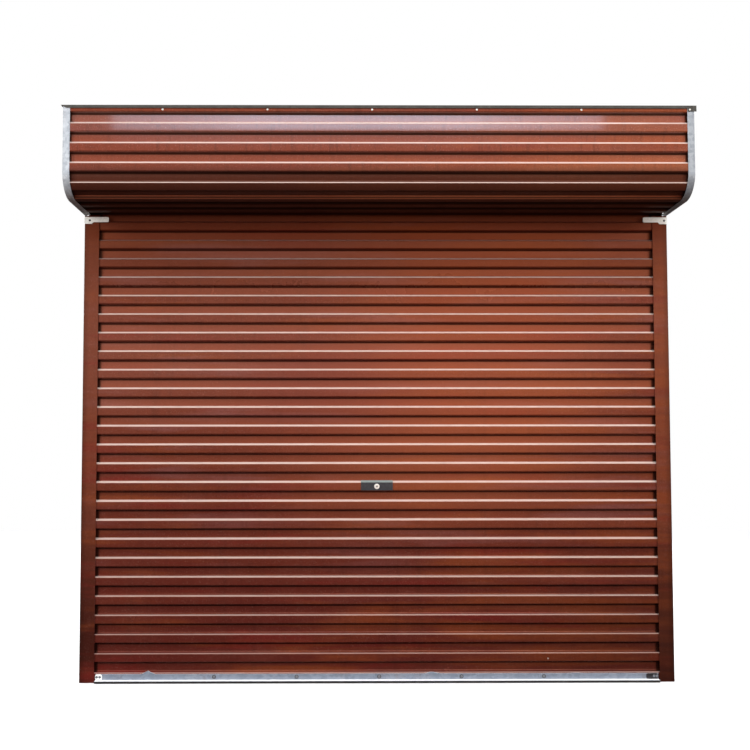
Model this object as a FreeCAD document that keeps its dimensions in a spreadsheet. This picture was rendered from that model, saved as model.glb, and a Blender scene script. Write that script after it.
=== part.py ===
import FreeCAD, Part
import math
import os
from types import SimpleNamespace

import Sketcher

# A face-mounted roll-up door, in millimetres. The origin is on the floor, in the middle of the doorway,
# on the wall's face. X runs across the doorway, Y into the wall, so the front is at -Y, and Z is up.

document = FreeCAD.newDocument("roller_door")

driving_sizes = [
    ("door_width", 2700, "across the outer faces of the two guides"),
    ("hood_bottom", 2136, "underside of the hood above the floor"),
    ("guide_face", 68, "width of a guide's front lip"),
    ("guide_back", 88, "width of a guide's back flange"),
    ("guide_depth", 36, "wall face to guide front"),
    ("guide_sheet", 1.5, "guide steel"),
    ("guide_corner", 4, "outside bend of a guide"),
    ("fixing_radius", 4.5, "wall fixing holes"),
    ("guide_fixing_low", 160, "lowest fixing hole in a guide"),
    ("guide_fixing_step", 600, "spacing of the fixing holes"),
    ("wear_strip_width", 20, "nylon strip inside a guide"),
    ("wear_strip_thick", 3, "nylon strip inside a guide"),
    ("wear_strip_setback", 4, "strip edge behind the lip's edge"),
    ("curtain_play", 0.5, "curtain rib to wear strip"),
    ("curtain_edge_gap", 12.5, "curtain edge to the web of a guide"),
    ("rib_pitch", 86, "rib to rib"),
    ("rib_face", 34, "flat front of a rib"),
    ("rib_run", 9, "height of a rib's slope"),
    ("rib_depth", 15, "rib front to valley front"),
    ("curtain_sheet", 0.7, "curtain steel"),
    ("roll_rise", 196, "axle above the hood's underside"),
    ("roll_radius", 150, "outside of the wound curtain"),
    ("roll_step", 17.5, "radius lost by one turn"),
    ("roll_turns", 1.25, "turns wound when the door is down"),
    ("axle_radius", 17, "fixed axle tube"),
    ("axle_wall", 3, "wall of the axle tube"),
    ("running_gap", 0.05, "bush on axle, radial"),
    ("bush_wall", 5, "nylon bush"),
    ("bush_length", 46, "nylon bush"),
    ("hub_wall", 8, "hub of a drum wheel"),
    ("wheel_width", 40, "rim of a drum wheel"),
    ("wheel_sheet", 4, "rim and web of a drum wheel"),
    ("wheel_hole", 22, "radius of the openings in a wheel's web"),
    ("wheel_inset", 100, "outer wheels in from the guides' outer faces"),
    ("spring_radius", 27, "torsion spring"),
    ("spring_length", 880, "torsion spring"),
    ("spring_end_gap", 1, "spring to wheel hub"),
    ("hood_depth", 364, "wall to hood front"),
    ("hood_height", 388, "underside of the hood to its sheet's top edge"),
    ("hood_corner", 100, "lower front corner of the hood"),
    ("hood_rib_drop", 72, "top edge of the hood to the middle of its first whole rib's upper slope"),
    ("throat_front", 44, "wall to the back edge of the hood's underside"),
    ("cheek_sheet", 1.5, "end plates of the hood"),
    ("cheek_flange", 30, "flange in front of the hood's sheet"),
    ("hood_fit", 0.3, "clearance between hood sheets"),
    ("flashing_sheet", 1.2, "cap of the hood"),
    ("flashing_side", 9, "cap beyond the guides' outer faces"),
    ("flashing_slant", 24, "slanted left end of the cap's lip"),
    ("flashing_lip", 13, "front lip of the cap"),
    ("flashing_back", 40, "upstand of the cap at the wall"),
    ("flashing_tab_width", 37, "deeper end of the cap's lip"),
    ("flashing_tab_drop", 13, "deeper end of the cap's lip"),
    ("top_rail_sheet", 2, "angle inside the hood's top edge"),
    ("top_rail_depth", 30, "angle inside the hood's top edge"),
    ("top_rail_leg", 23, "angle inside the hood's top edge"),
    ("tab_screw_in", 20, "screw of the cap's deeper end, in from the guide's outer face"),
    ("hood_screw_first", -926, "leftmost screw of the hood"),
    ("hood_screw_step", 448, "screw to screw along the hood"),
    ("hood_screw_drop", 17, "screws below the hood sheet's top edge"),
    ("hood_screw_head", 4.5, "radius of a hood screw's head"),
    ("bracket_plate", 5, "end brackets"),
    ("bracket_flange", 70, "width of an end bracket's wall flange"),
    ("bracket_tall", 216, "height of an end bracket"),
    ("bracket_fixing_inset", 30, "fixing holes in from a bracket's ends"),
    ("bracket_nose", 34, "radius of the plate round the axle"),
    ("axle_fit", 0.2, "axle in its brackets, radial"),
    ("collar_wall", 9, "axle collars"),
    ("collar_width", 14, "axle collars"),
    ("stop_length", 112, "stop arms"),
    ("stop_root", 32, "height of a stop arm at the guide"),
    ("stop_arm", 24, "height of a stop arm at its tip"),
    ("stop_sheet", 4, "stop arms"),
    ("stop_drop", 7, "stop arm below the hood"),
    ("stop_step", 34, "length of a stop arm's tall root"),
    ("stop_round", 5, "corners of a stop arm"),
    ("left_stop_screw_in", 25, "screw in from the guide's outer face"),
    ("right_stop_screw_in", 14, "screw in from the guide's outer face"),
    ("stop_screw_radius", 5, "shank and head of a stop screw"),
    ("seal_height", 10, "rubber seal under the rail"),
    ("seal_width", 22, "rubber seal under the rail"),
    ("rail_sheet", 2, "bottom rail"),
    ("rail_height", 29, "bottom rail"),
    ("rail_lip", 21, "bottom rail's forward lip"),
    ("rail_side_gap", 5, "rail end to a guide's lip"),
    ("starter_height", 28.5, "curtain between the rail and its first seam"),
    ("rail_bolt_first", -740, "leftmost rail bolt"),
    ("rail_bolt_step", 374, "bolt to bolt along the rail"),
    ("rail_bolt_head", 6.5, "radius across the corners of a bolt head"),
    ("rail_bolt_shank", 3, "radius of a rail bolt"),
    ("bolt_fit", 0.2, "shank in its hole, radial"),
    ("tongue_length", 96, "rail end tongues"),
    ("tongue_height", 23, "rail end tongues"),
    ("tongue_thick", 3, "rail end tongues"),
    ("tongue_end_gap", 5, "tongue to the web of a guide"),
    ("lock_plate_width", 146, "outside plate of the lock"),
    ("lock_plate_height", 36, "outside plate of the lock"),
    ("lock_plate_thick", 2.5, "outside plate of the lock"),
    ("lock_plate_corner", 3, "outside plate of the lock"),
    ("key_radius", 12, "key cylinder"),
    ("key_proud", 2, "key cylinder in front of its plate"),
    ("key_slot_width", 2.4, "keyway"),
    ("key_slot_height", 12, "keyway"),
    ("key_slot_depth", 6, "keyway"),
    ("key_fit", 0.3, "key cylinder in its hole, radial"),
    ("backplate_width", 130, "plate behind the curtain"),
    ("backplate_height", 110, "plate behind the curtain"),
    ("backplate_thick", 2, "plate behind the curtain"),
    ("bar_height", 25, "lock bars"),
    ("bar_thick", 3, "lock bars"),
    ("bar_gap", 0.8, "backplate to lock bar"),
    ("bar_end", 46, "end of a drawn-in bar, from the guide's outer face"),
    ("bar_inner", 60, "start of a bar's full height"),
    ("cam_radius", 30, "cam behind the bars"),
    ("cam_thick", 2, "cam behind the bars"),
    ("cam_pin_circle", 24, "pins of the cam"),
    ("cam_pin", 3, "radius of a cam pin"),
    ("cam_gap", 0.3, "bar to cam"),
    ("pin_play", 1.2, "cam pin in a bar's slot"),
    ("tongue_low", 10, "a bar's inner end above or below the key's centre"),
    ("tongue_high", 33, "a bar's inner end above or below the key's centre"),
    ("turn_length", 62, "inside thumb turn"),
    ("turn_height", 14, "inside thumb turn"),
    ("turn_thick", 5, "inside thumb turn"),
    ("clip_width", 20, "bar clips"),
    ("clip_height", 104, "bar clips"),
    ("clip_sheet", 1.3, "bar clips"),
    ("clip_play", 0.4, "bar in its clips"),
    ("clip_inset", 150, "outermost bar clips in from the guides' outer faces"),
    ("keeper_length", 33, "lock keepers in the guides"),
    ("keeper_sheet", 2, "lock keepers in the guides"),
    ("keeper_play", 0.8, "bar in its keeper"),
    ("keeper_setback", 5, "keeper to the guide's outer face"),
]

# Ribs rolled into one sheet of the curtain, and whole ribs between its first seam and the lock.
ribs_per_strip = 2
lock_rib_count = 9
hood_screw_count = 5
rail_bolt_count = 5
guide_fixing_count = 4
wheel_hole_count = 6
clip_count = 3

sheet = document.addObject("Spreadsheet::Sheet", "Sizes")
for row, (alias, value, note) in enumerate(driving_sizes, start=1):
    sheet.set(f"A{row}", alias)
    sheet.set(f"B{row}", str(value))
    sheet.set(f"C{row}", note)
    sheet.setAlias(f"B{row}", alias)
document.recompute()


class Size:
    """A size worked out from the sheet: its value, and the formula that binds a feature to the cells."""

    def __init__(self, value, formula):
        self.value = value
        self.formula = formula

    def __add__(self, other):
        other = as_size(other)
        return Size(self.value + other.value, f"({self.formula} + {other.formula})")

    def __sub__(self, other):
        other = as_size(other)
        return Size(self.value - other.value, f"({self.formula} - {other.formula})")

    def __mul__(self, other):
        other = as_size(other)
        return Size(self.value * other.value, f"({self.formula} * {other.formula})")

    def __truediv__(self, other):
        other = as_size(other)
        return Size(self.value / other.value, f"({self.formula} / {other.formula})")

    def __radd__(self, other):
        return as_size(other) + self

    def __rsub__(self, other):
        return as_size(other) - self

    def __rmul__(self, other):
        return as_size(other) * self

    def __neg__(self):
        return Size(-self.value, f"(0 - {self.formula})")

    def root(self):
        return Size(math.sqrt(self.value), f"sqrt({self.formula})")


def as_size(number):
    return number if isinstance(number, Size) else Size(float(number), repr(float(number)))


s = SimpleNamespace(**{alias: Size(float(value), f"Sizes.{alias}") for alias, value, note in driving_sizes})

# Places that several pieces share.
half_width = s.door_width / 2
guide_inside = half_width - s.guide_sheet
curtain_front = s.guide_sheet + s.wear_strip_thick + s.curtain_play - s.guide_depth
valley_front = curtain_front + s.rib_depth
curtain_back = valley_front + s.curtain_sheet
curtain_half = guide_inside - s.curtain_edge_gap
rail_top = s.seal_height + s.rail_height
first_seam = rail_top + s.starter_height
strip_height = s.rib_pitch * ribs_per_strip
roll_height = s.hood_bottom + s.roll_rise
hood_top = s.hood_bottom + s.hood_height
roll_back = curtain_back - s.roll_radius
slope_length = (s.rib_run * s.rib_run + s.rib_depth * s.rib_depth).root()
bend_shift = s.curtain_sheet * (slope_length - s.rib_run) / s.rib_depth
lip_top = s.seal_height + s.rail_sheet
stop_top = s.hood_bottom - s.stop_drop
stop_screw_height = stop_top - s.stop_root / 2
lock_height = first_seam + s.rib_pitch * (lock_rib_count + 0.5)
bar_front = curtain_back + s.backplate_thick + s.bar_gap
bar_back = bar_front + s.bar_thick
cam_front = bar_back + s.cam_gap
cam_back = cam_front + s.cam_thick
cheek_front = -s.hood_depth
cover_front = cheek_front + s.cheek_sheet + s.hood_fit
cover_bottom = s.hood_bottom + s.cheek_sheet + s.hood_fit
cover_half = half_width - s.cheek_sheet - s.hood_fit
cap_front = cheek_front - s.hood_fit - s.flashing_sheet
hood_screw_height = hood_top - s.hood_screw_drop
bush_radius = s.axle_radius + s.running_gap
hub_bore = bush_radius + s.bush_wall
roll_inside = s.roll_radius - s.rib_depth - s.curtain_sheet - s.roll_step * s.roll_turns
wheel_radius = roll_inside - s.rib_face * s.rib_face / (8 * roll_inside) - s.hood_fit

nodes = []


def keep(piece, label):
    """Name the piece and list it as one of the door's nodes."""
    piece.Label = label
    nodes.append(piece)
    return piece


def place(piece, x=None, y=None, z=None):
    """Move a finished piece to its place, bound to the sheet."""
    for axis, distance in (("x", x), ("y", y), ("z", z)):
        if distance is not None:
            piece.setExpression(f"Placement.Base.{axis}", as_size(distance).formula)


def new_body(label):
    body = document.addObject("PartDesign::Body", "Body")
    body.AllowCompound = True
    return keep(body, label)


def origin_feature(body, role):
    for feature in body.Origin.OriginFeatures:
        if feature.Role == role:
            return feature
    raise ValueError(f"no origin feature {role}")


def bind_distance(drawn, kind, geometry, vertex, distance):
    """Place one end of a sketch line from the sketch's origin. A sketch takes only positive distances."""
    if distance.value < 0:
        index = drawn.addConstraint(Sketcher.Constraint(kind, geometry, vertex, -1, 1, -distance.value))
        drawn.setExpression(f"Constraints[{index}]", (-distance).formula)
        return
    index = drawn.addConstraint(Sketcher.Constraint(kind, -1, 1, geometry, vertex, distance.value))
    if distance.formula.count("Sizes"):
        drawn.setExpression(f"Constraints[{index}]", distance.formula)


def new_sketch(body, role, offset=None):
    drawn = body.newObject("Sketcher::SketchObject", "Sketch")
    drawn.Label = f"{body.Label} sketch"
    drawn.AttachmentSupport = [(origin_feature(body, role), "")]
    drawn.MapMode = "FlatFace"
    if offset is not None:
        drawn.setExpression("AttachmentOffset.Base.z", as_size(offset).formula)
    return drawn


def arc_through(start, end, radius, turn):
    """The short arc of a given radius from start to end, turning left (1) or right (-1)."""
    chord = end - start
    middle = (start + end) * 0.5
    reach = math.sqrt(max(radius * radius - chord.Length * chord.Length / 4, 0.0))
    across = FreeCAD.Vector(-chord.y, chord.x, 0).normalize()
    centre = middle + across * (reach * turn)
    bulge = middle - across * ((radius - reach) * turn)
    return centre, Part.Arc(start, bulge, end)


def outline(drawn, points):
    """Draw a closed outline. A point is (x, y), or (x, y, radius, turn) where an arc leads to the next."""
    first = drawn.GeometryCount
    count = len(points)
    corners = [(as_size(point[0]), as_size(point[1])) for point in points]
    starts = []
    for index, point in enumerate(points):
        here = FreeCAD.Vector(corners[index][0].value, corners[index][1].value, 0)
        after = corners[(index + 1) % count]
        there = FreeCAD.Vector(after[0].value, after[1].value, 0)
        if len(point) == 2:
            drawn.addGeometry(Part.LineSegment(here, there), False)
            starts.append((1, 2))
            continue
        radius, turn = as_size(point[2]), point[3]
        geometry = drawn.addGeometry(arc_through(here, there, radius.value, turn)[1], False)
        starts.append((1, 2) if turn > 0 else (2, 1))
        constraint = drawn.addConstraint(Sketcher.Constraint("Radius", geometry, radius.value))
        drawn.setExpression(f"Constraints[{constraint}]", radius.formula)
    for index in range(count):
        following = (index + 1) % count
        drawn.addConstraint(Sketcher.Constraint(
            "Coincident", first + index, starts[index][1], first + following, starts[following][0]))
    for index, (x, y) in enumerate(corners):
        bind_distance(drawn, "DistanceX", first + index, starts[index][0], x)
        bind_distance(drawn, "DistanceY", first + index, starts[index][0], y)


def circle(drawn, x, y, radius):
    """Draw a circle at a place bound to the sheet."""
    x, y, radius = as_size(x), as_size(y), as_size(radius)
    centre = FreeCAD.Vector(x.value, y.value, 0)
    geometry = drawn.addGeometry(Part.Circle(centre, FreeCAD.Vector(0, 0, 1), radius.value), False)
    constraint = drawn.addConstraint(Sketcher.Constraint("Radius", geometry, radius.value))
    drawn.setExpression(f"Constraints[{constraint}]", radius.formula)
    bind_distance(drawn, "DistanceX", geometry, 3, x)
    bind_distance(drawn, "DistanceY", geometry, 3, y)


def rectangle(x_low, y_low, x_high, y_high):
    return [(x_low, y_low), (x_high, y_low), (x_high, y_high), (x_low, y_high)]


def mirrored(points, side):
    """The same outline on the left (-1) or right (1) of the door."""
    return [(side * point[0], *point[1:3], *[side * turn for turn in point[3:]]) for point in points]


def pad(body, drawn, length, symmetric=False, backwards=False):
    feature = body.newObject("PartDesign::Pad", "Pad")
    feature.Profile = drawn
    feature.setExpression("Length", as_size(length).formula)
    feature.Reversed = backwards
    if symmetric:
        feature.SideType = "Symmetric"
    document.recompute()
    return feature


def pocket(body, drawn, length, symmetric=False, backwards=False):
    """Cut the sketch's outline out of the body, and stop if it took nothing away."""
    before = body.Shape.Volume
    feature = body.newObject("PartDesign::Pocket", "Pocket")
    feature.Profile = drawn
    feature.setExpression("Length", as_size(length).formula)
    feature.Reversed = backwards
    if symmetric:
        feature.SideType = "Symmetric"
    document.recompute()
    if not body.Shape.Volume < before:
        raise RuntimeError(f"{body.Label}: a pocket cut nothing")
    return feature


def solid_group(label, solids):
    """Keep several like solids, such as a set of screws, as one node."""
    group = document.addObject("Part::Compound", "Group")
    group.Links = solids
    return keep(group, label)


def shape_node(label, shape):
    piece = document.addObject("Part::Feature", "Formed")
    piece.Shape = shape
    return keep(piece, label)


def screw(x, y, z, head_radius, head_height, shank_radius, shank_length, corners=0):
    """A screw whose head lies in front of y and whose shank runs into the door from there."""
    if corners:
        head = document.addObject("Part::Prism", "Head")
        head.Polygon = corners
        head.setExpression("Circumradius", as_size(head_radius).formula)
    else:
        head = document.addObject("Part::Cylinder", "Head")
        head.setExpression("Radius", as_size(head_radius).formula)
    head.setExpression("Height", as_size(head_height).formula)
    shank = document.addObject("Part::Cylinder", "Shank")
    shank.setExpression("Radius", as_size(shank_radius).formula)
    shank.setExpression("Height", as_size(shank_length).formula)
    for piece, turn in ((head, 90), (shank, -90)):
        upright = FreeCAD.Rotation(FreeCAD.Vector(1, 0, 0), turn)
        piece.Placement = FreeCAD.Placement(FreeCAD.Vector(), upright)
        place(piece, x, y, z)
    fused = document.addObject("Part::Fuse", "Screw")
    fused.Base = head
    fused.Tool = shank
    return fused


# Corrugated sheet.


def rib_corners(seam, ribs, top=None):
    """Front corners of a corrugated sheet from a seam up, as (depth, height, shift of the back corner)."""
    valley = (s.rib_pitch - s.rib_face - 2 * s.rib_run) / 2
    corners = [(s.rib_depth, seam, 0)]
    for rib in range(ribs):
        foot = seam + rib * s.rib_pitch + valley
        face = foot + s.rib_run
        corners += [
            (s.rib_depth, foot, bend_shift),
            (as_size(0), face, bend_shift),
            (as_size(0), face + s.rib_face, -bend_shift),
            (s.rib_depth, face + s.rib_face + s.rib_run, -bend_shift),
        ]
    corners.append((s.rib_depth, seam + ribs * s.rib_pitch, 0))
    if top is None:
        return corners
    below = [corner for corner in corners if corner[1].value < top.value]
    return below + [(corners[len(below)][0], top, 0)]


def sheet_outline(corners):
    """The section of a curtain sheet in the YZ plane, front corners up and back corners down."""
    front = [(curtain_front + depth, height) for depth, height, shift in corners]
    back = [(curtain_front + depth + s.curtain_sheet, height + shift) for depth, height, shift in corners]
    return front + back[::-1]


def curtain_strip(label, corners):
    body = new_body(label)
    drawn = new_sketch(body, "YZ_Plane")
    outline(drawn, sheet_outline(corners))
    pad(body, drawn, 2 * curtain_half, symmetric=True)
    return body


def curtain():
    """The strips that hang below the roll, each rolled with two or more ribs and seamed in a valley."""
    hanging = roll_height - first_seam
    whole = int(hanging.value // strip_height.value) - 1
    for number in range(whole):
        seam = first_seam + number * strip_height
        body = curtain_strip(f"curtain_strip_{number + 1:02d}", rib_corners(seam, ribs_per_strip))
        if number == lock_rib_count // ribs_per_strip:
            drawn = new_sketch(body, "XZ_Plane")
            circle(drawn, 0, lock_height, s.key_radius + s.key_fit)
            pocket(body, drawn, 4 * s.guide_depth, symmetric=True)
    seam = first_seam + whole * strip_height
    curtain_strip("curtain_top_strip", rib_corners(seam, 2 * ribs_per_strip, roll_height))
    curtain_starter()


def curtain_starter():
    """The lowest part of the curtain: from its first seam down to the rail, flat behind the rail's leg."""
    valley = (s.rib_pitch - s.rib_face - 2 * s.rib_run) / 2
    corners = [
        (as_size(0), lip_top + s.curtain_sheet, 0),
        (as_size(0), first_seam - valley - s.rib_run, -bend_shift),
        (s.rib_depth, first_seam - valley, -bend_shift),
        (s.rib_depth, first_seam, 0),
    ]
    body = curtain_strip("curtain_bottom_strip", corners)
    cut_rail_holes(body, bolt_places())
    return body


def bolt_places():
    """Bolts along the rail, then the two at each end that also hold the tongues."""
    places = [s.rail_bolt_first + index * s.rail_bolt_step for index in range(rail_bolt_count)]
    tongue_start = guide_inside - s.tongue_end_gap - s.tongue_length
    for side in (-1, 1):
        places.append(side * (tongue_start + 1.4 * s.rail_bolt_head))
        places.append(side * (tongue_start + 3.5 * s.rail_bolt_head))
    return places


def bolt_height():
    return lip_top + (s.rail_height - s.rail_sheet) / 2


def cut_rail_holes(body, places):
    drawn = new_sketch(body, "XZ_Plane")
    for x in places:
        circle(drawn, x, bolt_height(), s.rail_bolt_shank + s.bolt_fit)
    pocket(body, drawn, 4 * s.guide_depth, symmetric=True)


def roll_points(thickness, first_height):
    """Corners of one face of the wound sheet, from the tangent by the wall up over the axle and round."""
    valley = (s.rib_pitch.value - s.rib_face.value - 2 * s.rib_run.value) / 2
    stops = [
        (valley, 0.0, 1),
        (valley + s.rib_run.value, s.rib_depth.value, 1),
        (valley + s.rib_run.value + s.rib_face.value, s.rib_depth.value, -1),
        (valley + 2 * s.rib_run.value + s.rib_face.value, 0.0, -1),
    ]
    start = (roll_height - first_seam).value
    rib = int(start // s.rib_pitch.value)
    walked = 0.0
    turned = 0.0
    points = [(0.0, first_height)]
    while True:
        for offset, height, bend in stops:
            ahead = rib * s.rib_pitch.value + offset - start
            if ahead <= 0:
                continue
            ahead += bend * thickness / s.curtain_sheet.value * bend_shift.value * -1
            radius = s.roll_radius.value - s.roll_step.value * turned / (2 * math.pi)
            turned += (ahead - walked) / radius
            walked = ahead
            if turned > 2 * math.pi * s.roll_turns.value:
                return points
            points.append((turned, height))
        rib += 1


def wound_face(points, thickness):
    """Turn (angle, height above the valley) into places round the axle."""
    face = []
    for turned, height in points:
        radius = s.roll_radius.value - s.roll_step.value * turned / (2 * math.pi) - height - thickness
        y = roll_back.value + radius * math.cos(turned)
        z = roll_height.value + radius * math.sin(turned)
        face.append(FreeCAD.Vector(-curtain_half.value, y, z))
    return face


def curtain_roll():
    """The wound part of the curtain, its ribs turned in towards the axle, as a face-mounted door winds."""
    at_tangent = s.rib_depth.value
    outer = wound_face(roll_points(0.0, at_tangent), 0.0)
    inner = wound_face(roll_points(s.curtain_sheet.value, at_tangent), s.curtain_sheet.value)
    count = min(len(outer), len(inner))
    ring = outer[:count] + inner[:count][::-1]
    section = Part.Face(Part.makePolygon(ring + ring[:1]))
    shape_node("curtain_roll", section.extrude(FreeCAD.Vector(2 * curtain_half.value, 0, 0)))


# Guides and what is fixed in them.


def guide(side, name):
    """A folded channel with its front lip over the curtain's edge and a wider back flange on the wall."""
    body = new_body(f"{name}_guide")
    drawn = new_sketch(body, "XY_Plane")
    outer, bend = half_width, s.guide_corner
    inner_bend = bend - s.guide_sheet
    web = half_width - s.guide_sheet
    back = s.guide_sheet
    front = -s.guide_depth
    outline(drawn, [
        (side * (outer - s.guide_face), front),
        (side * (outer - bend), front, bend, side),
        (side * outer, front + bend),
        (side * outer, -bend, bend, side),
        (side * (outer - bend), 0),
        (side * (outer - s.guide_back), 0),
        (side * (outer - s.guide_back), -back),
        (side * (web - inner_bend), -back, inner_bend, -side),
        (side * web, -back - inner_bend),
        (side * web, front + back + inner_bend, inner_bend, -side),
        (side * (web - inner_bend), front + back),
        (side * (outer - s.guide_face), front + back),
    ])
    pad(body, drawn, s.hood_bottom - s.hood_fit)
    holes = new_sketch(body, "XZ_Plane")
    for index in range(guide_fixing_count):
        height = s.guide_fixing_low + index * s.guide_fixing_step
        circle(holes, side * fixing_line(), height, s.fixing_radius)
    pocket(body, holes, 2 * s.guide_sheet, symmetric=True)
    screw_in = s.left_stop_screw_in if side < 0 else s.right_stop_screw_in
    stop_hole = new_sketch(body, "XZ_Plane", -(front + s.guide_sheet / 2))
    circle(stop_hole, side * (outer - screw_in), stop_screw_height, s.stop_screw_radius / 2 + s.bolt_fit)
    pocket(body, stop_hole, 2 * s.guide_sheet, symmetric=True)


def fixing_line():
    """Fixing holes from the middle: halfway between the front lip's and the back flange's edges."""
    return half_width - (s.guide_face + s.guide_back) / 2


def wear_strip(side, name):
    """A nylon strip along the inside of the front lip, which the ribs run on."""
    body = new_body(f"{name}_wear_strip")
    drawn = new_sketch(body, "XY_Plane")
    near = half_width - s.guide_face + s.wear_strip_setback
    front = s.guide_sheet - s.guide_depth
    far = near + s.wear_strip_width
    outline(drawn, rectangle(side * near, front, side * far, front + s.wear_strip_thick))
    pad(body, drawn, stop_top - s.stop_root)


def stop_arm(side, name):
    """A bent-nosed plate on the front of the guide that the bottom rail's lip comes up against."""
    body = new_body(f"{name}_stop_arm")
    drawn = new_sketch(body, "XZ_Plane", s.guide_depth)
    outer, tip = half_width, half_width - s.stop_length
    step = outer - s.stop_step
    low, high = stop_top - s.stop_root, stop_top
    nose = high - s.stop_arm
    bend = s.stop_round
    points = [
        (outer - bend, low, bend, 1),
        (outer, low + bend),
        (outer, high - bend, bend, 1),
        (outer - bend, high),
        (tip + bend, high, bend, 1),
        (tip, high - bend),
        (tip, nose + bend, bend, 1),
        (tip + bend, nose),
        (step - s.stop_root + s.stop_arm, nose),
        (step, low),
    ]
    outline(drawn, mirrored(points, side))
    pad(body, drawn, s.stop_sheet)
    screw_in = s.left_stop_screw_in if side < 0 else s.right_stop_screw_in
    hole = new_sketch(body, "XZ_Plane", s.guide_depth)
    circle(hole, side * (outer - screw_in), stop_screw_height, s.stop_screw_radius / 2 + s.bolt_fit)
    pocket(body, hole, s.stop_sheet, backwards=True)


def stop_screws():
    screws = []
    for side, screw_in in ((-1, s.left_stop_screw_in), (1, s.right_stop_screw_in)):
        screws.append(screw(
            side * (half_width - screw_in), -(s.guide_depth + s.stop_sheet), stop_screw_height,
            s.stop_screw_radius, s.stop_sheet * 0.6, s.stop_screw_radius / 2,
            s.stop_sheet + s.guide_sheet + s.wear_strip_thick / 2))
    solid_group("stop_screws", screws)


def keeper(side, name):
    """Two lugs on the guide's back flange that a thrown lock bar slides between."""
    body = new_body(f"{name}_lock_keeper")
    drawn = new_sketch(body, "YZ_Plane", side * (half_width - s.keeper_setback - s.keeper_length / 2))
    clear = s.bar_height / 2 + s.keeper_play
    lug = clear + s.keeper_sheet
    back = -s.guide_sheet
    front = bar_front - s.keeper_play / 2
    outline(drawn, [
        (back, lock_height - lug),
        (back, lock_height + lug),
        (front, lock_height + lug),
        (front, lock_height + clear),
        (back - s.keeper_sheet, lock_height + clear),
        (back - s.keeper_sheet, lock_height - clear),
        (front, lock_height - clear),
        (front, lock_height - lug),
    ])
    pad(body, drawn, s.keeper_length, symmetric=True)


# Hood.


def hood_path():
    """Front, rounded corner and underside of the hood, as lengths along its sheet from the top edge."""
    front = (hood_top - s.hood_bottom - s.hood_corner).value
    corner = s.hood_corner.value * math.pi / 2
    return front, corner


def on_hood(walked, inward):
    """A place on the hood's section, at a distance along it and a depth inside its outer rib faces."""
    straight, corner = hood_path()
    radius = s.hood_corner.value - (cover_front - cheek_front).value - inward
    front = cover_front.value + inward
    bottom = cover_bottom.value + inward
    if walked <= straight:
        return front, hood_top.value - walked
    if walked <= straight + corner:
        angle = (walked - straight) / s.hood_corner.value
        y = cheek_front.value + s.hood_corner.value - radius * math.cos(angle)
        z = s.hood_bottom.value + s.hood_corner.value - radius * math.sin(angle)
        return y, z
    return cheek_front.value + s.hood_corner.value + walked - straight - corner, bottom


def hood_corners():
    """Where the hood's sheet bends: (length along it, depth, back shift) at each side of every rib."""
    straight, corner = hood_path()
    end = straight + corner + (s.hood_depth - s.hood_corner - s.throat_front).value
    first = s.hood_rib_drop.value - s.rib_run.value / 2
    slopes = [
        (0.0, s.rib_depth.value, 1),
        (s.rib_run.value, 0.0, 1),
        (s.rib_run.value + s.rib_face.value, 0.0, -1),
        (2 * s.rib_run.value + s.rib_face.value, s.rib_depth.value, -1),
    ]
    corners = [(0.0, 0.0, 0)]
    rib = -1
    while first + rib * s.rib_pitch.value < end:
        for offset, depth, bend in slopes:
            walked = first + rib * s.rib_pitch.value + offset
            if 0 < walked < end:
                corners.append((walked, depth, bend))
        rib += 1
    corners.append((end, corners[-1][1], 0))
    return corners


def hood_cover():
    """The hood's front and underside: one sheet, ribbed like the curtain, rolled round the lower corner."""
    outer, inner = [], []
    for walked, depth, bend in hood_corners():
        outer.append(on_hood(walked, depth))
        inner.append(on_hood(walked + bend * bend_shift.value, depth + s.curtain_sheet.value))
    ring = [FreeCAD.Vector(-cover_half.value, y, z) for y, z in outer + inner[::-1]]
    section = Part.Face(Part.makePolygon(ring + ring[:1]))
    solid = section.extrude(FreeCAD.Vector(2 * cover_half.value, 0, 0))
    radius = (s.hood_screw_head / 2 + s.bolt_fit).value
    depth = 2 * s.rib_depth.value
    for x in hood_screw_places() + [tab_screw_place()]:
        start = FreeCAD.Vector(x.value, cheek_front.value, hood_screw_height.value)
        solid = solid.cut(Part.makeCylinder(radius, depth, start, FreeCAD.Vector(0, 1, 0)))
    shape_node("hood_cover", solid)


def cheek(side, name):
    """An end plate of the hood, with a flange folded in front of the ribbed sheet and under it."""
    body = new_body(f"{name}_hood_cheek")
    drawn = new_sketch(body, "YZ_Plane", side * (half_width - s.cheek_flange))
    bend = s.hood_corner
    inner_bend = bend - s.cheek_sheet
    outline(drawn, [
        (as_size(0), s.hood_bottom),
        (as_size(0), hood_top),
        (cheek_front, hood_top),
        (cheek_front, s.hood_bottom + bend, bend, 1),
        (cheek_front + bend, s.hood_bottom),
    ])
    pad(body, drawn, s.cheek_flange, backwards=side < 0)
    inside = new_sketch(body, "YZ_Plane", side * (half_width - s.cheek_flange))
    below = s.hood_bottom - s.cheek_sheet
    above = hood_top + s.cheek_sheet
    outline(inside, [
        (s.cheek_sheet, below),
        (s.cheek_sheet, above),
        (cheek_front + s.cheek_sheet, above),
        (cheek_front + s.cheek_sheet, s.hood_bottom + bend, inner_bend, 1),
        (cheek_front + bend, s.hood_bottom + s.cheek_sheet),
        (-s.throat_front, s.hood_bottom + s.cheek_sheet),
        (-s.throat_front, below),
    ])
    pocket(body, inside, s.cheek_flange - s.cheek_sheet, backwards=side > 0)
    if side > 0:
        cut_hood_holes(body, [tab_screw_place()])


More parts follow.
